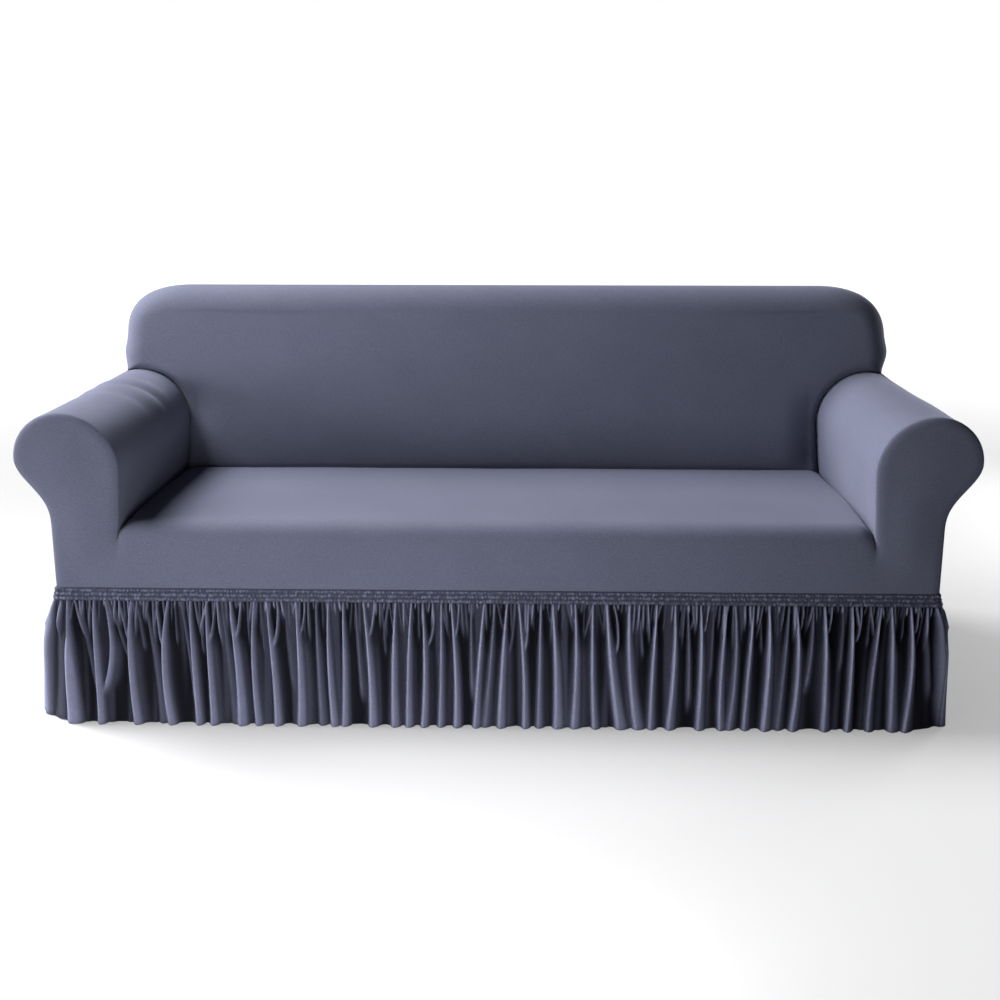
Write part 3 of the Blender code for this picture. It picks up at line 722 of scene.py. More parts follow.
def sleeve(side):
    """Rows along the arm, each of them from the crease over the roll and down to the band."""
    line = np.concatenate([inner_line(SLEEVE_LOW, TIP_Z[side]), outer_line()[::-1][1:]])
    line = at_fractions(line, np.linspace(0.0, 1.0, 112))
    depths = np.concatenate([SLEEVE_FRONT + np.array(SEAM_STEPS), np.linspace(-0.408, SLEEVE_REAR, 78)])
    x = line[None, :, 0] * np.ones((len(depths), 1))
    z = line[None, :, 1] * np.ones((len(depths), 1))
    y = depths[:, None] * np.ones_like(x)
    z = z + arm_lift(z, y)
    points = np.stack([x, y, z], 2)
    from_seam = y - SLEEVE_FRONT
    seam = -DRAWN_IN * (1 - smooth(0.0, 0.008, from_seam))
    soft = ripple(points, 41 + side, 0.0011 if side < 0 else 0.0019, 0.34) * smooth(0.0, 0.05, from_seam)
    if side < 0:
        soft = soft + left_arm_folds(points)
    points += facing(points) * (seam + soft)[..., None]
    if side < 0:
        points = (points * MIRRORED)[::-1]
    return points.copy()


print("a sleeve has", " x ".join(str(n) for n in sleeve(1).shape[:2]), "points")

# %% Arm sleeves
NOTCH_Y = 0.250  # behind this line, what would lie beside the back is cut away

for side, word in ((-1, "left"), (1, "right")):
    arm = lay_grid("cover_arm_" + word, sleeve(side))
    only(arm)
    bpy.ops.object.mode_set(mode="EDIT")
    bpy.ops.mesh.select_all(action="DESELECT")
    bpy.ops.object.mode_set(mode="OBJECT")
    for face in arm.data.polygons:
        x, y, z = face.center
        # inwards of the roll's top, and outwards of it as far as the back covers the roll
        face.select = y > NOTCH_Y and (abs(x) < ROLL_TOP[0] or (abs(x) < 1.008 and z > 0.65))
    bpy.ops.object.mode_set(mode="EDIT")
    bpy.ops.mesh.delete(type="FACE")
    bpy.ops.object.mode_set(mode="OBJECT")
    finish_cloth(arm, panel_knit, "arm_sleeve_" + word)

# %% [markdown]
# ## Back
# The inside back leans to the rear and swells over its stuffing. Along the arms it is tucked into a deep
# crease; above them its edge turns over the top and the sides and runs back to the rear seam. A bevel
# would turn it by the same amount everywhere. So a face grid is laid up to a line just inside the
# outline, and rings of points carry the cloth round the edge from there, further where it is free than
# along the arms.

# %% Edge of the back
BACK_TOP, BACK_OUT = 0.932, 1.0109
CORNER_WIDE, CORNER_TALL = 0.160, 0.120
BESIDE = quarter((ROLL_TOP[0], ROLL_OUT[1]), (ROLL_WIDE, ROLL_TALL), 90, 67.5, 12)  # it stands on the roll
LOW = SEAT_Z - CREASE  # where the back is tucked in behind the seat


def back_edge():
    """(x, z) up the right-hand edge of the back: along the arm, and then free and round the corner."""
    arm = np.concatenate([inner_line(LOW), BESIDE[1:]])
    z = np.linspace(BESIDE[-1][1], BACK_TOP - CORNER_TALL, 20)[1:]
    t = (z - z[0]) / (z[-1] - z[0])
    free = np.stack([BACK_OUT + 0.006 * np.sin(np.pi * t**0.9) ** 2, z], 1)
    a = np.radians(np.linspace(0, 90, 41)[1:])
    square = 2 / 2.45  # a power below 1 makes the rounded corner a little squarer than an ellipse
    wide, tall = CORNER_WIDE * np.cos(a) ** square, CORNER_TALL * np.sin(a) ** square
    corner = np.stack([BACK_OUT - CORNER_WIDE + wide, BACK_TOP - CORNER_TALL + tall], 1)
    corner[-1] = (BACK_OUT - CORNER_WIDE, BACK_TOP)
    return arm, np.concatenate([free, corner])


print("half the edge of the back is", round(sum(run_along(part)[-1] for part in back_edge()), 3), "m long")

# %% How the back leans and swells
# how far the cloth turns round its edge, along an arm and where it is free
ARM_TUCK, EDGE_TURN = 0.022, 0.056
LEAN = 0.200  # to the rear, for each metre up
BACK_SWELL, SINK = 0.014, 0.014  # most in the middle, and beside the arms
SINK_WIDE = 0.075


def back_face_y(x, z):
    """How far to the rear the cloth lies; it sinks in along the arms and above the seat."""
    middle = 1 - np.clip(np.abs(x) / BACK_OUT, 0, 1) ** 4
    swell = middle * np.sin(np.pi * np.clip((z - SEAT_Z + 0.03) / 0.52, 0, 1))
    y = SEAT_BACK_Y + LEAN * (z - SEAT_Z + CREASE) - BACK_SWELL * swell
    beside_arm = ARM_IN_HIGH - ARM_TUCK - np.abs(x)
    sink = SINK * np.clip(1 - beside_arm / SINK_WIDE, 0.0, 1.0) ** 2 * smooth(LOW, LOW + 0.06, z)
    sink = np.minimum(sink, SINK) * (1 - smooth(0.58, 0.70, z))
    return y + round_off(z - LOW, 0.036, 0.010) + sink


leans = float(back_face_y(0.0, 0.9) - back_face_y(0.0, 0.5))
print("the back leans", round(leans, 3), "m to the rear between 0.5 and 0.9 m up")


# %% Lines inside the edge
def normals_2d(line):
    """Unit normals of a line in the x-z plane, on the right of its way."""
    step = np.gradient(line, axis=0)
    step /= np.maximum(np.linalg.norm(step, axis=1, keepdims=True), 1e-12)
    return np.stack([step[:, 1], -step[:, 0]], 1)


def inset_line(line, by):
    """The same line, moved inwards by a distance."""
    return line - normals_2d(line) * by


ROWS_ARM, ROWS_FREE = 64, 46  # rows of the face, beside the arm and above it


def back_outlines():
    """(x, z) of each row's end: on the edge, and on the line where the cloth starts to turn round it."""
    arm, free = back_edge()
    free = np.concatenate([arm[-1:], free])
    arm_in, free_in = inset_line(arm, ARM_TUCK), inset_line(free, EDGE_TURN)
    arm_in[0, 1] = LOW
    # the two inset lines cross near the place where the back stands on the roll, and are cut off there
    gap = np.linalg.norm(arm_in[:, None, :] - free_in[None, :, :], axis=2)
    cut_arm, cut_free = np.unravel_index(np.argmin(gap), gap.shape)
    arm_in = arm_in[: cut_arm + 1]
    free_in = np.concatenate([arm_in[-1:], free_in[cut_free + 1 :]])
    free_in[-1, 1] = BACK_TOP - EDGE_TURN
    up_arm, up_free = np.linspace(0, 1, ROWS_ARM), np.linspace(0, 1, ROWS_FREE)
    edge = np.concatenate([at_fractions(arm, up_arm), at_fractions(free, up_free)[1:]])
    inset = np.concatenate([at_fractions(arm_in, up_arm), at_fractions(free_in, up_free)[1:]])
    inset[0, 1] = LOW
    return edge, inset


edge, inset = back_outlines()
edge_deep = lerp(ARM_TUCK, EDGE_TURN, smooth(ROWS_ARM - 8, ROWS_ARM + 10, np.arange(len(edge))))
print("rows of the back:", len(edge))


# %% Face of the back
def back_face_points():
    """Rows across the face, from one inset line to the other, arched where the outline is."""
    fractions = np.concatenate([np.linspace(0, 0.94, 78), np.linspace(0.94, 1.0, 8)[1:]])
    fractions = np.concatenate([-fractions[:0:-1], fractions])
    lengths = run_along(inset) / run_along(inset)[-1]
    centre_z = lerp(LOW, inset[-1, 1], lengths**0.95)
    x = fractions[None, :] * inset[:, 0][:, None]
    z = lerp(centre_z[:, None], inset[:, 1][:, None], np.abs(fractions)[None, :] ** 2)
    return np.stack([x, back_face_y(x, z), z], 2)


back_face = back_face_points()
# soft unevenness of the stretched cloth, dying out at the edges
wobble = ripple(back_face, 61, 0.0014, 0.5)
edge_far = np.minimum(1 - np.abs(np.linspace(-1, 1, back_face.shape[1]))[None, :], 0.5)
row_far = np.linspace(0, 1, back_face.shape[0])[:, None]
wobble *= smooth(0.0, 0.10, edge_far) * smooth(0.0, 0.08, row_far) * (1 - smooth(0.92, 1.0, row_far))
back_face[..., 1] += wobble
print("face of the back:", " x ".join(str(n) for n in back_face.shape[:2]), "points")


# %% Rim of the back
def round_rim(left, top, right):
    """What belongs to each point of the rim: up the left side, along the top and down the right one."""
    return np.concatenate([left[:-1], top, right[-2::-1]])


reach_out = edge - inset
along_top = back_face.shape[1]
beside_arm = np.arange(len(edge)) < ROWS_ARM - 1
rim_points = round_rim(back_face[:, 0], back_face[-1], back_face[:, -1])
rim_out = round_rim(reach_out * MIRRORED[:2], np.tile([0.0, EDGE_TURN], (along_top, 1)), reach_out)
rim_deep = round_rim(edge_deep, np.full(along_top, edge_deep[-1]), edge_deep)
rim_arm = round_rim(beside_arm, np.zeros(along_top, bool), beside_arm)
print("the rim has", len(rim_points), "points,", int(rim_arm.sum()), "of them along the arms")

# %% Rings round the rim
rings = []
for angle in range(0, 91, 10):
    a = math.radians(angle)
    ring = rim_points.copy()
    ring[:, [0, 2]] += rim_out * math.sin(a)
    ring[:, 1] += back_face_y(ring[:, 0], ring[:, 2]) - back_face_y(rim_points[:, 0], rim_points[:, 2])
    ring[:, 1] += rim_deep * (1 - math.cos(a))
    rings.append(ring)
turned_over = rings[-1]
goal = np.where(rim_arm, turned_over[:, 1] + CREASE, SLEEVE_REAR)
for reach in np.linspace(0.0, 1.0, 15)[1:]:
    ring = turned_over.copy()
    ring[:, 1] = lerp(turned_over[:, 1], goal, reach)
    ring[~rim_arm, 2] -= 0.012 * reach**2 * smooth(0.86, BACK_TOP, ring[~rim_arm, 2])
    # along an arm it is lifted as the roll is
    here, start = ring[rim_arm], turned_over[rim_arm]
    ring[rim_arm, 2] += arm_lift(here[:, 2], here[:, 1]) - arm_lift(start[:, 2], start[:, 1])
    rings.append(ring)
for ring in rings[1:]:
    ring[0, 2] = ring[-1, 2] = LOW
print(len(rings), "rings carry the cloth round the edge")


# %% Inside back
def swell_sides(points):
    """The stuffing pushes the back out at its sides, above the arms, and more on the right."""
    x, z = points[..., 0], points[..., 2]
    more = np.where(x > 0, 0.013, 0.004) * smooth(0.72, 1.0, np.abs(x))
    points[..., 0] += np.sign(x) * more * smooth(0.695, 0.775, z) * (1 - 0.85 * smooth(0.77, 0.93, z))
    return points


back_uv = cloth_uv(back_face)
face_sheet = lay_grid("cover_back", swell_sides(back_face), back_uv)
rim_sheet = lay_grid("back_rim", swell_sides(np.array(rings)))
back_sheet = sew_together([face_sheet, rim_sheet], towards_rear=False)
finish_cloth(back_sheet, panel_knit, "inside_back")

# %% [markdown]
# ## Outside back
# The rear of the cover can't be seen in the photograph. It is finished plainly, as one smooth panel out
# to the ends of the rolls, with its edge turned forward to the seam. It is made like the inside back,
# from a face and rings, because its outline has the same corners.

# %% Edge of the outside back
REAR_TURN = 0.008  # how far its edge turns forward


def soften(values, times):
    """Averages each value with its neighbours, several times, keeping the ends."""
    values = values.copy()
    for _ in range(times):
        values[1:-1] = 0.25 * values[:-2] + 0.5 * values[1:-1] + 0.25 * values[2:]
    return values


arm_edge = np.array([p for p in outer_line() if not (p[1] > ROLL_OUT[1] and p[0] < BACK_OUT)])
rear_edge = at_fractions(np.concatenate([arm_edge, back_edge()[1]]), np.linspace(0, 1, 90))
rear_edge[:, 1] += arm_lift(rear_edge[:, 1], HALF_DEPTH) * (1 - smooth(0.70, 0.72, rear_edge[:, 1]))
rear_edge[:, 1] -= 0.012 * smooth(0.86, BACK_TOP, rear_edge[:, 1])
rear_out = soften(normals_2d(rear_edge), 2)
rear_out /= np.linalg.norm(rear_out, axis=1, keepdims=True)
rear_out[0], rear_out[-1] = (1.0, 0.0), (0.0, 1.0)
rear_inset = rear_edge - rear_out * REAR_TURN
rear_inset[0, 1] = PANEL_LOW
print("half the edge of the outside back is", round(run_along(rear_edge)[-1], 3), "m long")

# %% Face of the outside back
spread = np.concatenate([-np.linspace(0, 1, 56)[:0:-1], np.linspace(0, 1, 56)])
rear_x = spread[None, :] * rear_inset[:, 0][:, None]
rear_z = rear_inset[:, 1][:, None] * np.ones_like(rear_x)
rear_swell = (1 - np.abs(spread)[None, :] ** 4) * np.sin(np.pi * np.clip((rear_z - BAND_TOP) / 0.64, 0, 1))
rear_face = np.stack([rear_x, HALF_DEPTH + 0.004 * rear_swell, rear_z], 2)
rear_face[..., 1] += ripple(rear_face, 71, 0.0010, 0.5) * rear_swell
print("outside back:", " x ".join(str(n) for n in rear_face.shape[:2]), "points")

# %% Outside back
rear_rim = round_rim(rear_face[:, 0], rear_face[-1], rear_face[:, -1])
rear_rim_out = round_rim(rear_out * MIRRORED[:2], np.tile([0.0, 1.0], (len(spread), 1)), rear_out)
rear_rings = []
for angle in (0, 20, 40, 60, 80, 90):
    a = math.radians(angle)
    ring = rear_rim.copy()
    ring[:, [0, 2]] += rear_rim_out * REAR_TURN * math.sin(a)
    ring[:, 1] -= REAR_TURN * (1 - math.cos(a))
    rear_rings.append(ring)
ring = rear_rings[-1].copy()
ring[:, 1] = HALF_DEPTH - 0.010
rear_rings.append(ring)
face_sheet = lay_grid("cover_rear", swell_sides(rear_face))
rim_sheet = lay_grid("rear_rim", swell_sides(np.array(rear_rings)))
rear_sheet = sew_together([face_sheet, rim_sheet], towards_rear=True)
finish_cloth(rear_sheet, panel_knit, "outside_back")

# %% [markdown]
# ## Shirred band
# Under the panels runs a strip of the same knit, gathered on rows of elastic: each row of stitches is a
# fine groove, and between the rows the cloth stands out in small puckers, five to nine millimetres apart
# and never quite in step. A bump on the finish could only suggest them; shaped, they also throw small
# shadows. The band goes round the whole cover, so one long grid is bent round the corners.

# %% Path round the cover
def along_side(half_width, half_depth, radius, s):
    """Points and normals of a side that faces -Y, at distances s from its left corner."""
    straight = 2 * (half_width - radius)
    arc = radius * math.pi / 4
    s = np.asarray(s, float) / (2 * half_width) * (straight + 2 * arc)
    first, last = s < arc, s > arc + straight
    angle = np.where(first, s / np.maximum(radius, 1e-9) - math.pi / 4, 0.0)
    angle = np.where(last, (s - arc - straight) / np.maximum(radius, 1e-9), angle)
    corner = half_width - radius
    x = np.where(first, -corner, np.where(last, corner, s - arc - corner))
    x = x + radius * np.sin(angle)
    y = -half_depth + radius * (1 - np.cos(angle))
    return x, y, np.sin(angle), -np.cos(angle)


# half the length of each side, its distance from the middle, and its quarter turns from the front
SIDES = {
    "front": (ARM_OUT, HALF_DEPTH, 0),
    "right": (HALF_DEPTH, ARM_OUT, 1),
    "back": (ARM_OUT, HALF_DEPTH, 2),
    "left": (HALF_DEPTH, ARM_OUT, 3),
}
SIDE_STARTS = {
    "front": 0.0,
    "right": 2 * ARM_OUT,
    "back": 2 * ARM_OUT + 2 * HALF_DEPTH,
    "left": 4 * ARM_OUT + 2 * HALF_DEPTH,
}
ROUND = 4 * ARM_OUT + 4 * HALF_DEPTH


def on_side(name, radius, s, out):
    """x and y at distances s from a side's left corner, and out from it; radius rounds the corners."""
    half_width, half_depth, quarter_turns = SIDES[name]
    x, y, out_x, out_y = along_side(half_width, half_depth, radius, s)
    x, y = x + out_x * out, y + out_y * out
    for _ in range(quarter_turns):
        x, y = -y, x
    return x, y


print("round the cover:", round(ROUND, 3), "m")

# %% Puckers
BAND_ROWS, PUCKER_ROWS = 16, 3


def puckers(seed, s, heights):
    """Bumps between the rows of elastic, 0 to 1, on a grid of heights and distances."""
    dice = np.random.default_rng(seed)
    found = np.zeros((len(heights), len(s)))
    for row in range(PUCKER_ROWS):
        at = dice.uniform(0.0, 0.006)
        while at < ROUND:
            middle = (row + 0.5 + dice.uniform(-0.13, 0.13)) / PUCKER_ROWS
            wide = dice.uniform(0.0026, 0.0052)
            tall = dice.uniform(0.11, 0.175)
            high = dice.uniform(0.30, 1.0)
            first, last = np.searchsorted(s, (at - 0.007, at + 0.007))
            up = heights[:, None] - middle
            across = (s[None, first:last] - at - dice.uniform(-0.008, 0.008) * up) / wide
            bump = high * np.clip(1 - across**2 - (up / tall) ** 2, 0.0, 1.0) ** 0.7
            found[:, first:last] = np.maximum(found[:, first:last], bump)
            at += dice.uniform(0.0045, 0.0090)
    found[:, -1] = found[:, 0]
    return found


heights = np.linspace(0.0, 1.0, BAND_ROWS)
columns = int(ROUND / 0.0020)  # one every two millimetres
s_all = np.linspace(0.0, ROUND, columns + 1)
gathers = puckers(100, s_all, heights) * (1 - smooth(0.88, 0.97, heights))[:, None]
print("the band's grid:", " x ".join(str(n) for n in gathers.shape), "points")

# %% Shirred band
BAND_LOW, BAND_HIGH = 0.2862, 0.3148
BAND_CORNER = 0.007  # radius of its corners
GATHERED_CLOTH = 0.0014  # thickness of the band and the skirt, m

band_points = np.zeros((BAND_ROWS, columns + 1, 3))
for row, h in enumerate(heights):
    out = 0.0004 + (0.0012 + 0.0064 * (1 - h) ** 1.5) * (1 - smooth(0.90, 1.0, h)) + 0.0036 * gathers[row]
    for name, start in SIDE_STARTS.items():
        mine = (s_all >= start - 1e-9) & (s_all <= start + 2 * SIDES[name][0] + 1e-9)
        x, y = on_side(name, BAND_CORNER, s_all[mine] - start, out[mine])
        band_points[row, mine, 0] = x
        band_points[row, mine, 1] = y
    band_points[row, :, 2] = lerp(BAND_LOW, BAND_HIGH, h)
band_points[:, -1] = band_points[:, 0]
# painted shading: a painted highlight on the puckers and painted shade between them, less dark along the
# band's top edge
band_painted_shading = np.maximum(gathers * 0.9, 0.35 * smooth(0.9, 1.0, heights)[:, None])
band = sew_together([lay_grid("cover_band", band_points, painted_fold_shading=band_painted_shading)])
finish_cloth(band, band_knit_painted_shading, "shirred_band", GATHERED_CLOTH)

# %% [markdown]
# ## Gathered skirt
# The skirt is more than twice as long as the edge it is sewn to, and the spare cloth stands out in narrow
# ridges with wide dark valleys between. No two folds are alike: many start as a fork or a loop of two
# small gathers under the band, some fade half-way down and some slant. A cloth simulation would drape it
# well, but never with the folds of this skirt, so they are placed one by one. The table below lists each
# ridge of the front: where it is at the band, half-way and at its foot, in centimetres from the middle;
# its half width in millimetres; its height; and how far down it reaches before it runs into its
# neighbour, as a share of the drop.

# %% Ridges of the front
# head, middle, foot, half width, height, reach
FRONT_RIDGES = (
    (-101.2, -102.4, -102.4, 9, 0.8, 1), (-97.8, -97.6, -97.1, 9, 1, 1),
    (-96.4, -97, -97.3, 5, 0.7, 0.16), (-94.9, -93.7, -92, 9, 0.45, 0.8),
    (-91.7, -91.8, -91.8, 9, 1, 1), (-93.1, -92.3, -91.9, 5, 0.6, 0.14),
    (-89.2, -88.2, -91.3, 9, 0.9, 0.78), (-87.2, -86.6, -86.1, 6, 0.5, 0.22),
    (-87.8, -86.2, -84.2, 8, 0.55, 0.5), (-83.1, -84, -83.3, 9.5, 1, 1),
    (-86, -85, -84.1, 7, 0.75, 0.33), (-82, -81.2, -80.7, 9, 0.5, 0.42),
    (-80, -78.3, -77.3, 10, 0.5, 1), (-74.6, -76.2, -75.2, 10, 1, 1),
    (-77.4, -76.9, -76.4, 7, 0.85, 0.36), (-73.1, -73.1, -73.1, 7, 0.5, 0.36),
    (-71.6, -70.3, -69.4, 8, 0.55, 0.88), (-69.5, -69.2, -68.8, 8.5, 1, 1),
    (-67.6, -67.3, -67, 7, 0.55, 0.44), (-65.8, -65.6, -65.4, 8.5, 1, 1),
    (-63.8, -64.4, -65.3, 7, 0.8, 0.33), (-62.3, -61.3, -60.3, 10, 0.5, 1),
    (-60.3, -59.1, -58.8, 11, 1.05, 1), (-57.9, -58.3, -59.1, 8, 0.95, 0.28),
    (-54.8, -55.5, -54.9, 8.5, 0.95, 1), (-53.4, -53.1, -53, 7, 0.45, 0.42),
    (-51.9, -50.8, -50.4, 9.5, 1, 1), (-49.6, -49.5, -50.7, 8, 0.95, 0.36),
    (-47.6, -47.3, -46.1, 9, 0.45, 0.78), (-45.2, -44.7, -45, 9.5, 1, 1),
    (-43.3, -43.5, -44.5, 7, 0.85, 0.26), (-40.6, -40.5, -40, 9, 0.65, 1),
    (-37.8, -37.9, -37.2, 9, 1, 1), (-34.4, -34.4, -34.8, 10, 0.9, 1),
    (-31.6, -31.1, -30.4, 9, 0.6, 0.82), (-29.7, -28.5, -28.3, 10, 1, 1),
    (-27.3, -27.6, -28.4, 8, 0.95, 0.26), (-25.7, -25.2, -24.9, 7, 0.5, 0.44),
    (-24.4, -24.5, -24.7, 6, 0.4, 0.3), (-22.4, -23, -23.1, 9.5, 1, 1),
    (-23.9, -23.5, -23.1, 6, 0.6, 0.2), (-18.8, -19.6, -19.9, 9, 0.95, 1),
    (-20.5, -20.1, -19.8, 6, 0.6, 0.18), (-17.4, -17.2, -17.1, 6, 0.5, 0.3),
    (-16.2, -15.8, -16.4, 8.5, 1, 1), (-14, -13.8, -15.3, 8, 0.8, 0.36),
    (-12, -12.1, -12.5, 8.5, 0.85, 1), (-10.7, -11, -11.6, 6, 0.5, 0.16), (-9.7, -8.7, -8.7, 9.5, 1, 1),
    (-8, -8.2, -8.7, 7, 0.9, 0.26), (-5.1, -5.2, -4.9, 8, 0.65, 0.8), (-6.6, -6.1, -5.9, 6, 0.45, 0.22),
    (-2.2, -3.4, -4.3, 8.5, 1, 1), (0.2, -0.9, -2.2, 9.5, 0.7, 1), (3, 2, 1.4, 9, 1, 1),
    (4.6, 4.4, 3.4, 8, 0.55, 0.42), (5.7, 6.9, 7.1, 9, 1, 1), (7.8, 7.7, 7.2, 8, 0.9, 0.38),
    (9.2, 9.1, 9, 6, 0.4, 0.22), (10.7, 10.5, 10.3, 9, 0.8, 1), (12.1, 12.4, 12.9, 6, 0.45, 0.16),
    (13.4, 14.3, 14.5, 11, 0.95, 1), (15.3, 15.6, 15.6, 6, 0.45, 0.22),
    (17.1, 17.8, 18.5, 6, 0.6, 0.16), (18.5, 18.9, 18.4, 10, 0.9, 1), (20.5, 20.5, 20.5, 6, 0.4, 0.26),
    (22.5, 22.6, 23.3, 9, 0.95, 1), (25.7, 27, 29.1, 13, 1, 1), (27.2, 28.3, 28, 8, 0.85, 0.4),
    (30.8, 31.2, 33.1, 13, 0.95, 1), (32.6, 33.6, 34.1, 8, 0.6, 0.44), (34.5, 34.8, 35, 6, 0.5, 0.24),
    (37, 36.4, 36.2, 9, 0.95, 1), (39.1, 38.8, 38.6, 6, 0.5, 0.22), (41.1, 41.2, 40.4, 10, 1, 1),
    (42.7, 42.6, 42.2, 7, 0.5, 0.28), (43.9, 44.6, 44.7, 8, 0.7, 0.86), (45.5, 45.3, 44.8, 6, 0.7, 0.2),
    (46.9, 47.4, 47.2, 9.5, 1, 1), (48.6, 48.3, 47.7, 7, 0.9, 0.22), (49.9, 49.8, 49.5, 7, 0.55, 0.62),
    (52.8, 52, 52.2, 9, 0.95, 1), (54.7, 55.2, 54.2, 11, 0.8, 1), (56.5, 56.5, 56.7, 6, 0.45, 0.22),
    (58.8, 58.2, 57.7, 9, 0.9, 1), (60.3, 60.8, 61.2, 7, 0.5, 0.4), (62.3, 62.7, 62.2, 10, 1.05, 1),
    (64.3, 64.5, 64.6, 7, 0.5, 0.28), (66.8, 66.3, 65.4, 9, 0.7, 1), (68.4, 69.4, 68.6, 9.5, 1, 1),
    (70, 69.9, 69.5, 6, 0.8, 0.2), (72.2, 72.2, 71.2, 10, 0.7, 0.72), (74.8, 75.7, 76, 10, 1, 1),
    (76.4, 76.2, 75.6, 7, 0.9, 0.22), (79, 79.2, 78.8, 8, 0.55, 0.54), (81, 81.4, 81.3, 9, 1, 1),
    (83, 82.9, 81.9, 8, 0.85, 0.3), (85, 85, 84.9, 7, 0.5, 0.34), (87.5, 86.4, 86.1, 9, 0.85, 1),
    (89.8, 90.8, 91.4, 12, 0.9, 1), (92.7, 92.7, 92.6, 6, 0.5, 0.28), (94, 95.1, 94.4, 10, 0.95, 1),
    (95.8, 95.7, 95.1, 7, 0.85, 0.22), (97.8, 98.3, 98.7, 8, 0.55, 0.78),
    (99.8, 100.5, 101.2, 11, 0.9, 1),
)
print(len(FRONT_RIDGES), "ridges in the front of the skirt")


# %% Ridges of the other sides
RIDGE_SEEDS = {"right": 5, "back": 6, "left": 7}


def free_ridges(name):
    """Ridges for a side that the photograph doesn't show, spread like those of the front."""
    dice = np.random.default_rng(RIDGE_SEEDS[name])
    length = 2 * SIDES[name][0]
    found = []
    at = 1.2
    while at < length * 100 - 1.5:
        lean = dice.normal(0, 0.8)
        bow = dice.normal(0, 0.5)
        half_width = dice.uniform(8.5, 11)
        height = dice.uniform(0.8, 1.05)
        found.append((at, at + lean / 2 + bow, at + lean, half_width, height, 1.0))
        if dice.random() < 0.35:
            # a short gather beside the ridge makes a fork of the two
            side = dice.choice((-1, 1)) * dice.uniform(0.8, 1.3)
            height = dice.uniform(0.75, 0.95)
            reach = dice.uniform(0.2, 0.4)
            found.append((at + side, at + side * 0.8, at + side * 0.1, 7.5, height, reach))
        step = dice.uniform(2.7, 5.4)
        if step > 3.6:
            # a low fold in a wide valley
            between = at + step * dice.uniform(0.42, 0.58)
            middle = between + dice.normal(0, 0.3)
            half_width = dice.uniform(7, 9)
            height = dice.uniform(0.4, 0.65)
            reach = dice.uniform(0.3, 0.85)
            found.append((between, middle, between + lean * 0.5, half_width, height, reach))
        at += step
    return found


print(len(free_ridges("right")), "ridges on the right")

# %% Ridges all the way round, in metres
ridges = []
for head, middle, foot, half_width, height, reach in FRONT_RIDGES:
    places = [place / 100 + ARM_OUT for place in (head, middle, foot)]
    ridges.append((*places, half_width / 1000, height, reach))
for name in ("right", "back", "left"):
    for head, middle, foot, half_width, height, reach in free_ridges(name):
        places = [SIDE_STARTS[name] + place / 100 for place in (head, middle, foot)]
        ridges.append((*places, half_width / 1000, height, reach))
print(len(ridges), "ridges all the way round")

# %% Cross-section of a ridge
def ridge_shape(d, t, far_left, far_right, share):
    """A narrow crest and a low shoulder of spare cloth beside it; d is 1 at the foot of the crest."""
    shoulder = np.clip(1 - np.abs(d / np.where(d > 0, far_right, far_left)) ** 1.3, 0.0, 1.0)
    share = share * smooth(0.06, 0.45, t)[:, None]
    return (1 - share) * np.clip(1 - np.abs(d) ** 1.55, 0.0, 1.0) ** 0.85 + share * shoulder


def ridge_track(head, middle, foot, reach, t):
    """Where a ridge is at each drop: a curve through its three places."""
    tau = np.clip(t / reach, 0.0, 1.0)
    return head * (1 - tau) * (1 - 2 * tau) + middle * 4 * tau * (1 - tau) + foot * tau * (2 * tau - 1)


drops = np.linspace(0.0, 1.0, 3)
first_track = ridge_track(*ridges[0][:3], 1.0, drops).round(3)
print("the first ridge runs through", first_track, "m from the front's left corner")

# %% Height of the folds
VALLEY_WAVES = 7


def fold_height(s, t):
    """Height of the folds, 0 in a valley and 1 on a crest, on a grid of distances s and drops t."""
    total = np.full((len(t), len(s)), 1e-6)
    dice = np.random.default_rng(31)
    for head, middle, foot, wide, high, reach in ridges:
        track = ridge_track(head, middle, foot, reach, t)
        wide_here = wide * np.interp(t, (0.0, 0.12, 0.40, 1.0), (0.38, 0.52, 0.76, 1.0))
        fade = 1 - smooth(0.80 * reach, reach * 1.15, t) if reach < 1 else np.ones_like(t)
        d = s[None, :] - track[:, None]
        d = ((d + ROUND / 2) % ROUND - ROUND / 2) / wide_here[:, None]
        # a fold that reaches far down is steep on its left and leans away slowly on its right
        if reach > 0.5:
            d = np.where(d > 0, d / np.interp(t, (0.0, 0.10, 0.35, 1.0), (1.0, 1.2, 1.7, 1.9))[:, None], d)
        far_left = dice.uniform(1.5, 2.8)
        far_right = dice.uniform(1.8, 3.4)
        share = dice.uniform(0.30, 0.58)
        total += ((high * fade)[:, None] * ridge_shape(d, t, far_left, far_right, share)) ** 4
    # spare cloth also lies in the valleys, in low soft waves of three to nine centimetres
    valley = np.zeros_like(total)
    for _ in range(VALLEY_WAVES):
        waves = round(ROUND / dice.uniform(0.032, 0.090))
        turn = dice.uniform(0, 2 * math.pi)
        bend = dice.uniform(-1.6, 1.6)
        valley += np.sin(2 * math.pi * waves * s[None, :] / ROUND + turn + bend * t[:, None])
    floor_height = 0.08 + 0.26 * smooth(-0.8, 3.2, valley)
    return (total + floor_height**4) ** 0.25


half_way = fold_height(SIDE_STARTS["front"] + np.linspace(0.0, 2 * ARM_OUT, 400), np.array([0.5]))
print("folds of the front, half-way down: from", half_way.min().round(2), "to", half_way.max().round(2))


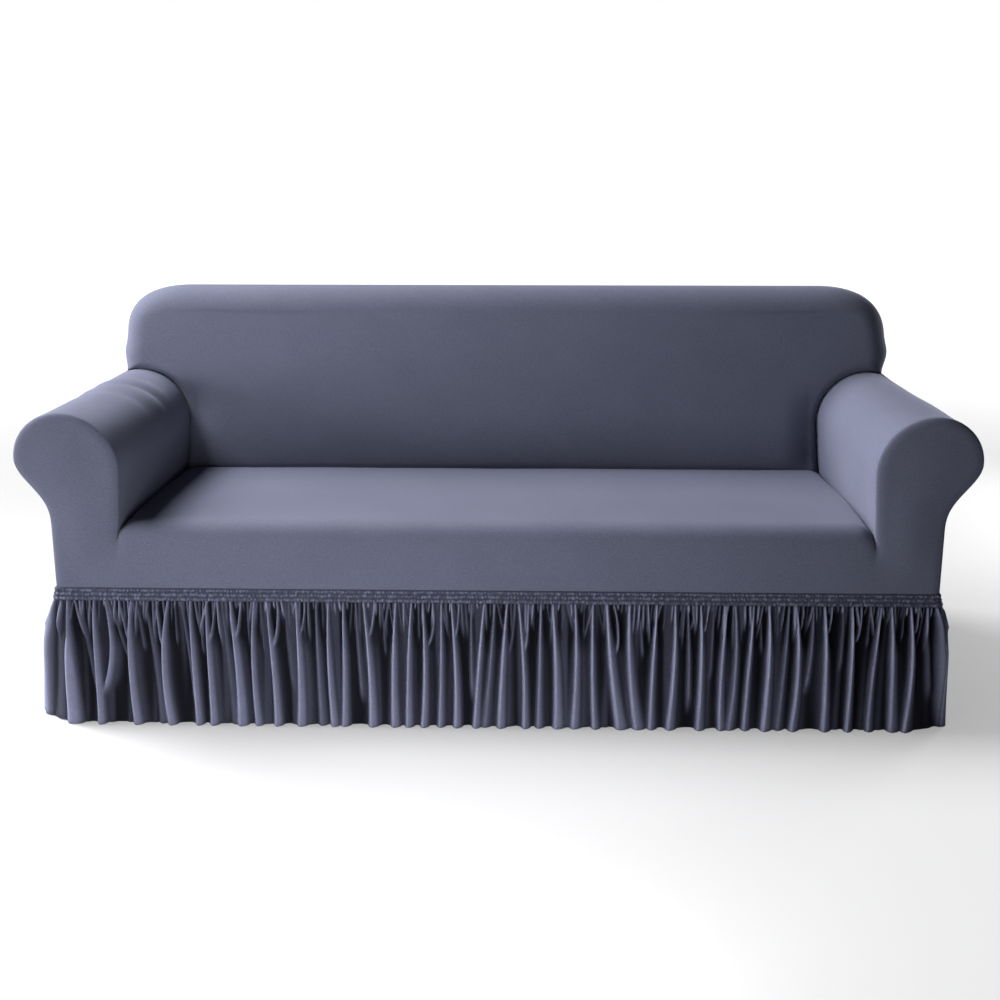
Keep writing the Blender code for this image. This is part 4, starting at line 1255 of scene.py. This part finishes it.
# %% Small gathers under the band
def fine_gathers(s, t):
    """Small gathers where the skirt is stitched to the band: each fades out further down."""
    dice = np.random.default_rng(9)
    found = np.zeros((len(t), len(s)))
    at = 0.0
    while at < ROUND:
        wide = dice.uniform(0.0026, 0.0046)
        high = dice.uniform(0.35, 0.90)
        reach = 0.07 + 0.50 * dice.random() ** 1.7
        lean = dice.normal(0.0, 0.03)
        first, last = np.searchsorted(s, (at - 0.02, at + 0.02))
        if last > first:
            d = np.abs(s[None, first:last] - at - lean * t[:, None]) / (wide * (1 + 2.0 * t[:, None]))
            bump = high * (1 - smooth(0.25 * reach, reach, t))[:, None] * np.clip(1 - d**2, 0.0, 1.0) ** 0.8
            found[:, first:last] = np.maximum(found[:, first:last], bump)
        at += dice.uniform(0.0070, 0.0120)
    return found * smooth(0.0, 0.012, np.minimum(s, ROUND - s))


print("highest of them at the seam:", fine_gathers(s_all, np.zeros(1)).max().round(2))

# %% Points of a side of the skirt
SKIRT_TOP, HEM = 0.2856, 0.0006
SKIRT_CORNER = 0.060  # radius of its corners at the floor


def crest_out(t):
    """How far the crests stand out of the band's plane, quickly at first and then slowly."""
    return 0.0085 + 0.030 * (1 - np.exp(-t / 0.13)) + 0.0165 * t


def valley_out(t):
    """How far the valleys stand out, slowly at first and then quickly."""
    return 0.036 * t**2.2


def skirt_points(name, columns, rows):
    """Rows from the hem up to the band, and for each point its painted shading: painted shade in a valley,
    a painted highlight on a crest.
    """
    local = np.linspace(0.0, 2 * SIDES[name][0], columns)
    s = SIDE_STARTS[name] + local
    t = np.linspace(0.0, 1.0, rows) ** 1.25
    height = np.maximum(fold_height(s, t), fine_gathers(s, t))
    out = lerp(valley_out(t)[:, None], crest_out(t)[:, None], height)
    lift = 0.002 * (1 - smooth(0.15, 0.7, height[-1]))  # the hem is 2 mm higher in the valleys
    z = lerp(SKIRT_TOP, HEM, t)[:, None] + lift[None, :] * (t**6)[:, None]
    x, y = np.zeros_like(out), np.zeros_like(out)
    for k in range(rows):
        radius = lerp(BAND_CORNER, SKIRT_CORNER, t[k] ** 0.6)
        x[k], y[k] = on_side(name, radius, local, out[k])
    # towards its left end the skirt stands out further, by up to 12 mm in its lower half
    x -= 0.012 * smooth(0.92, 1.05, -x) * smooth(0.0, 0.5, t)[:, None]
    points = np.stack([x, y, z], 2)
    # painted shade and highlight, from the height of the folds: 0 deep in a valley, 1 on a crest
    tone = 0.37 * smooth(0.04, 0.50, height) + 0.63 * smooth(0.45, 1.0, height)
    return points[::-1].copy(), tone[::-1].copy()  # rows run up


print("crests stand out", round(1000 * float(crest_out(1.0))), "mm at the floor")

# %% Skirt
# side, columns and rows
SKIRT_GRIDS = (("front", 1150, 36), ("right", 520, 34), ("back", 900, 28), ("left", 520, 34))

for name, columns, rows in SKIRT_GRIDS:
    sheet_points, painted_fold_shading = skirt_points(name, columns, rows)
    sheet = lay_grid("cover_skirt_" + name, sheet_points, painted_fold_shading=painted_fold_shading)
    finish_cloth(sheet, skirt_knit_painted_shading, "skirt_" + name, GATHERED_CLOTH)
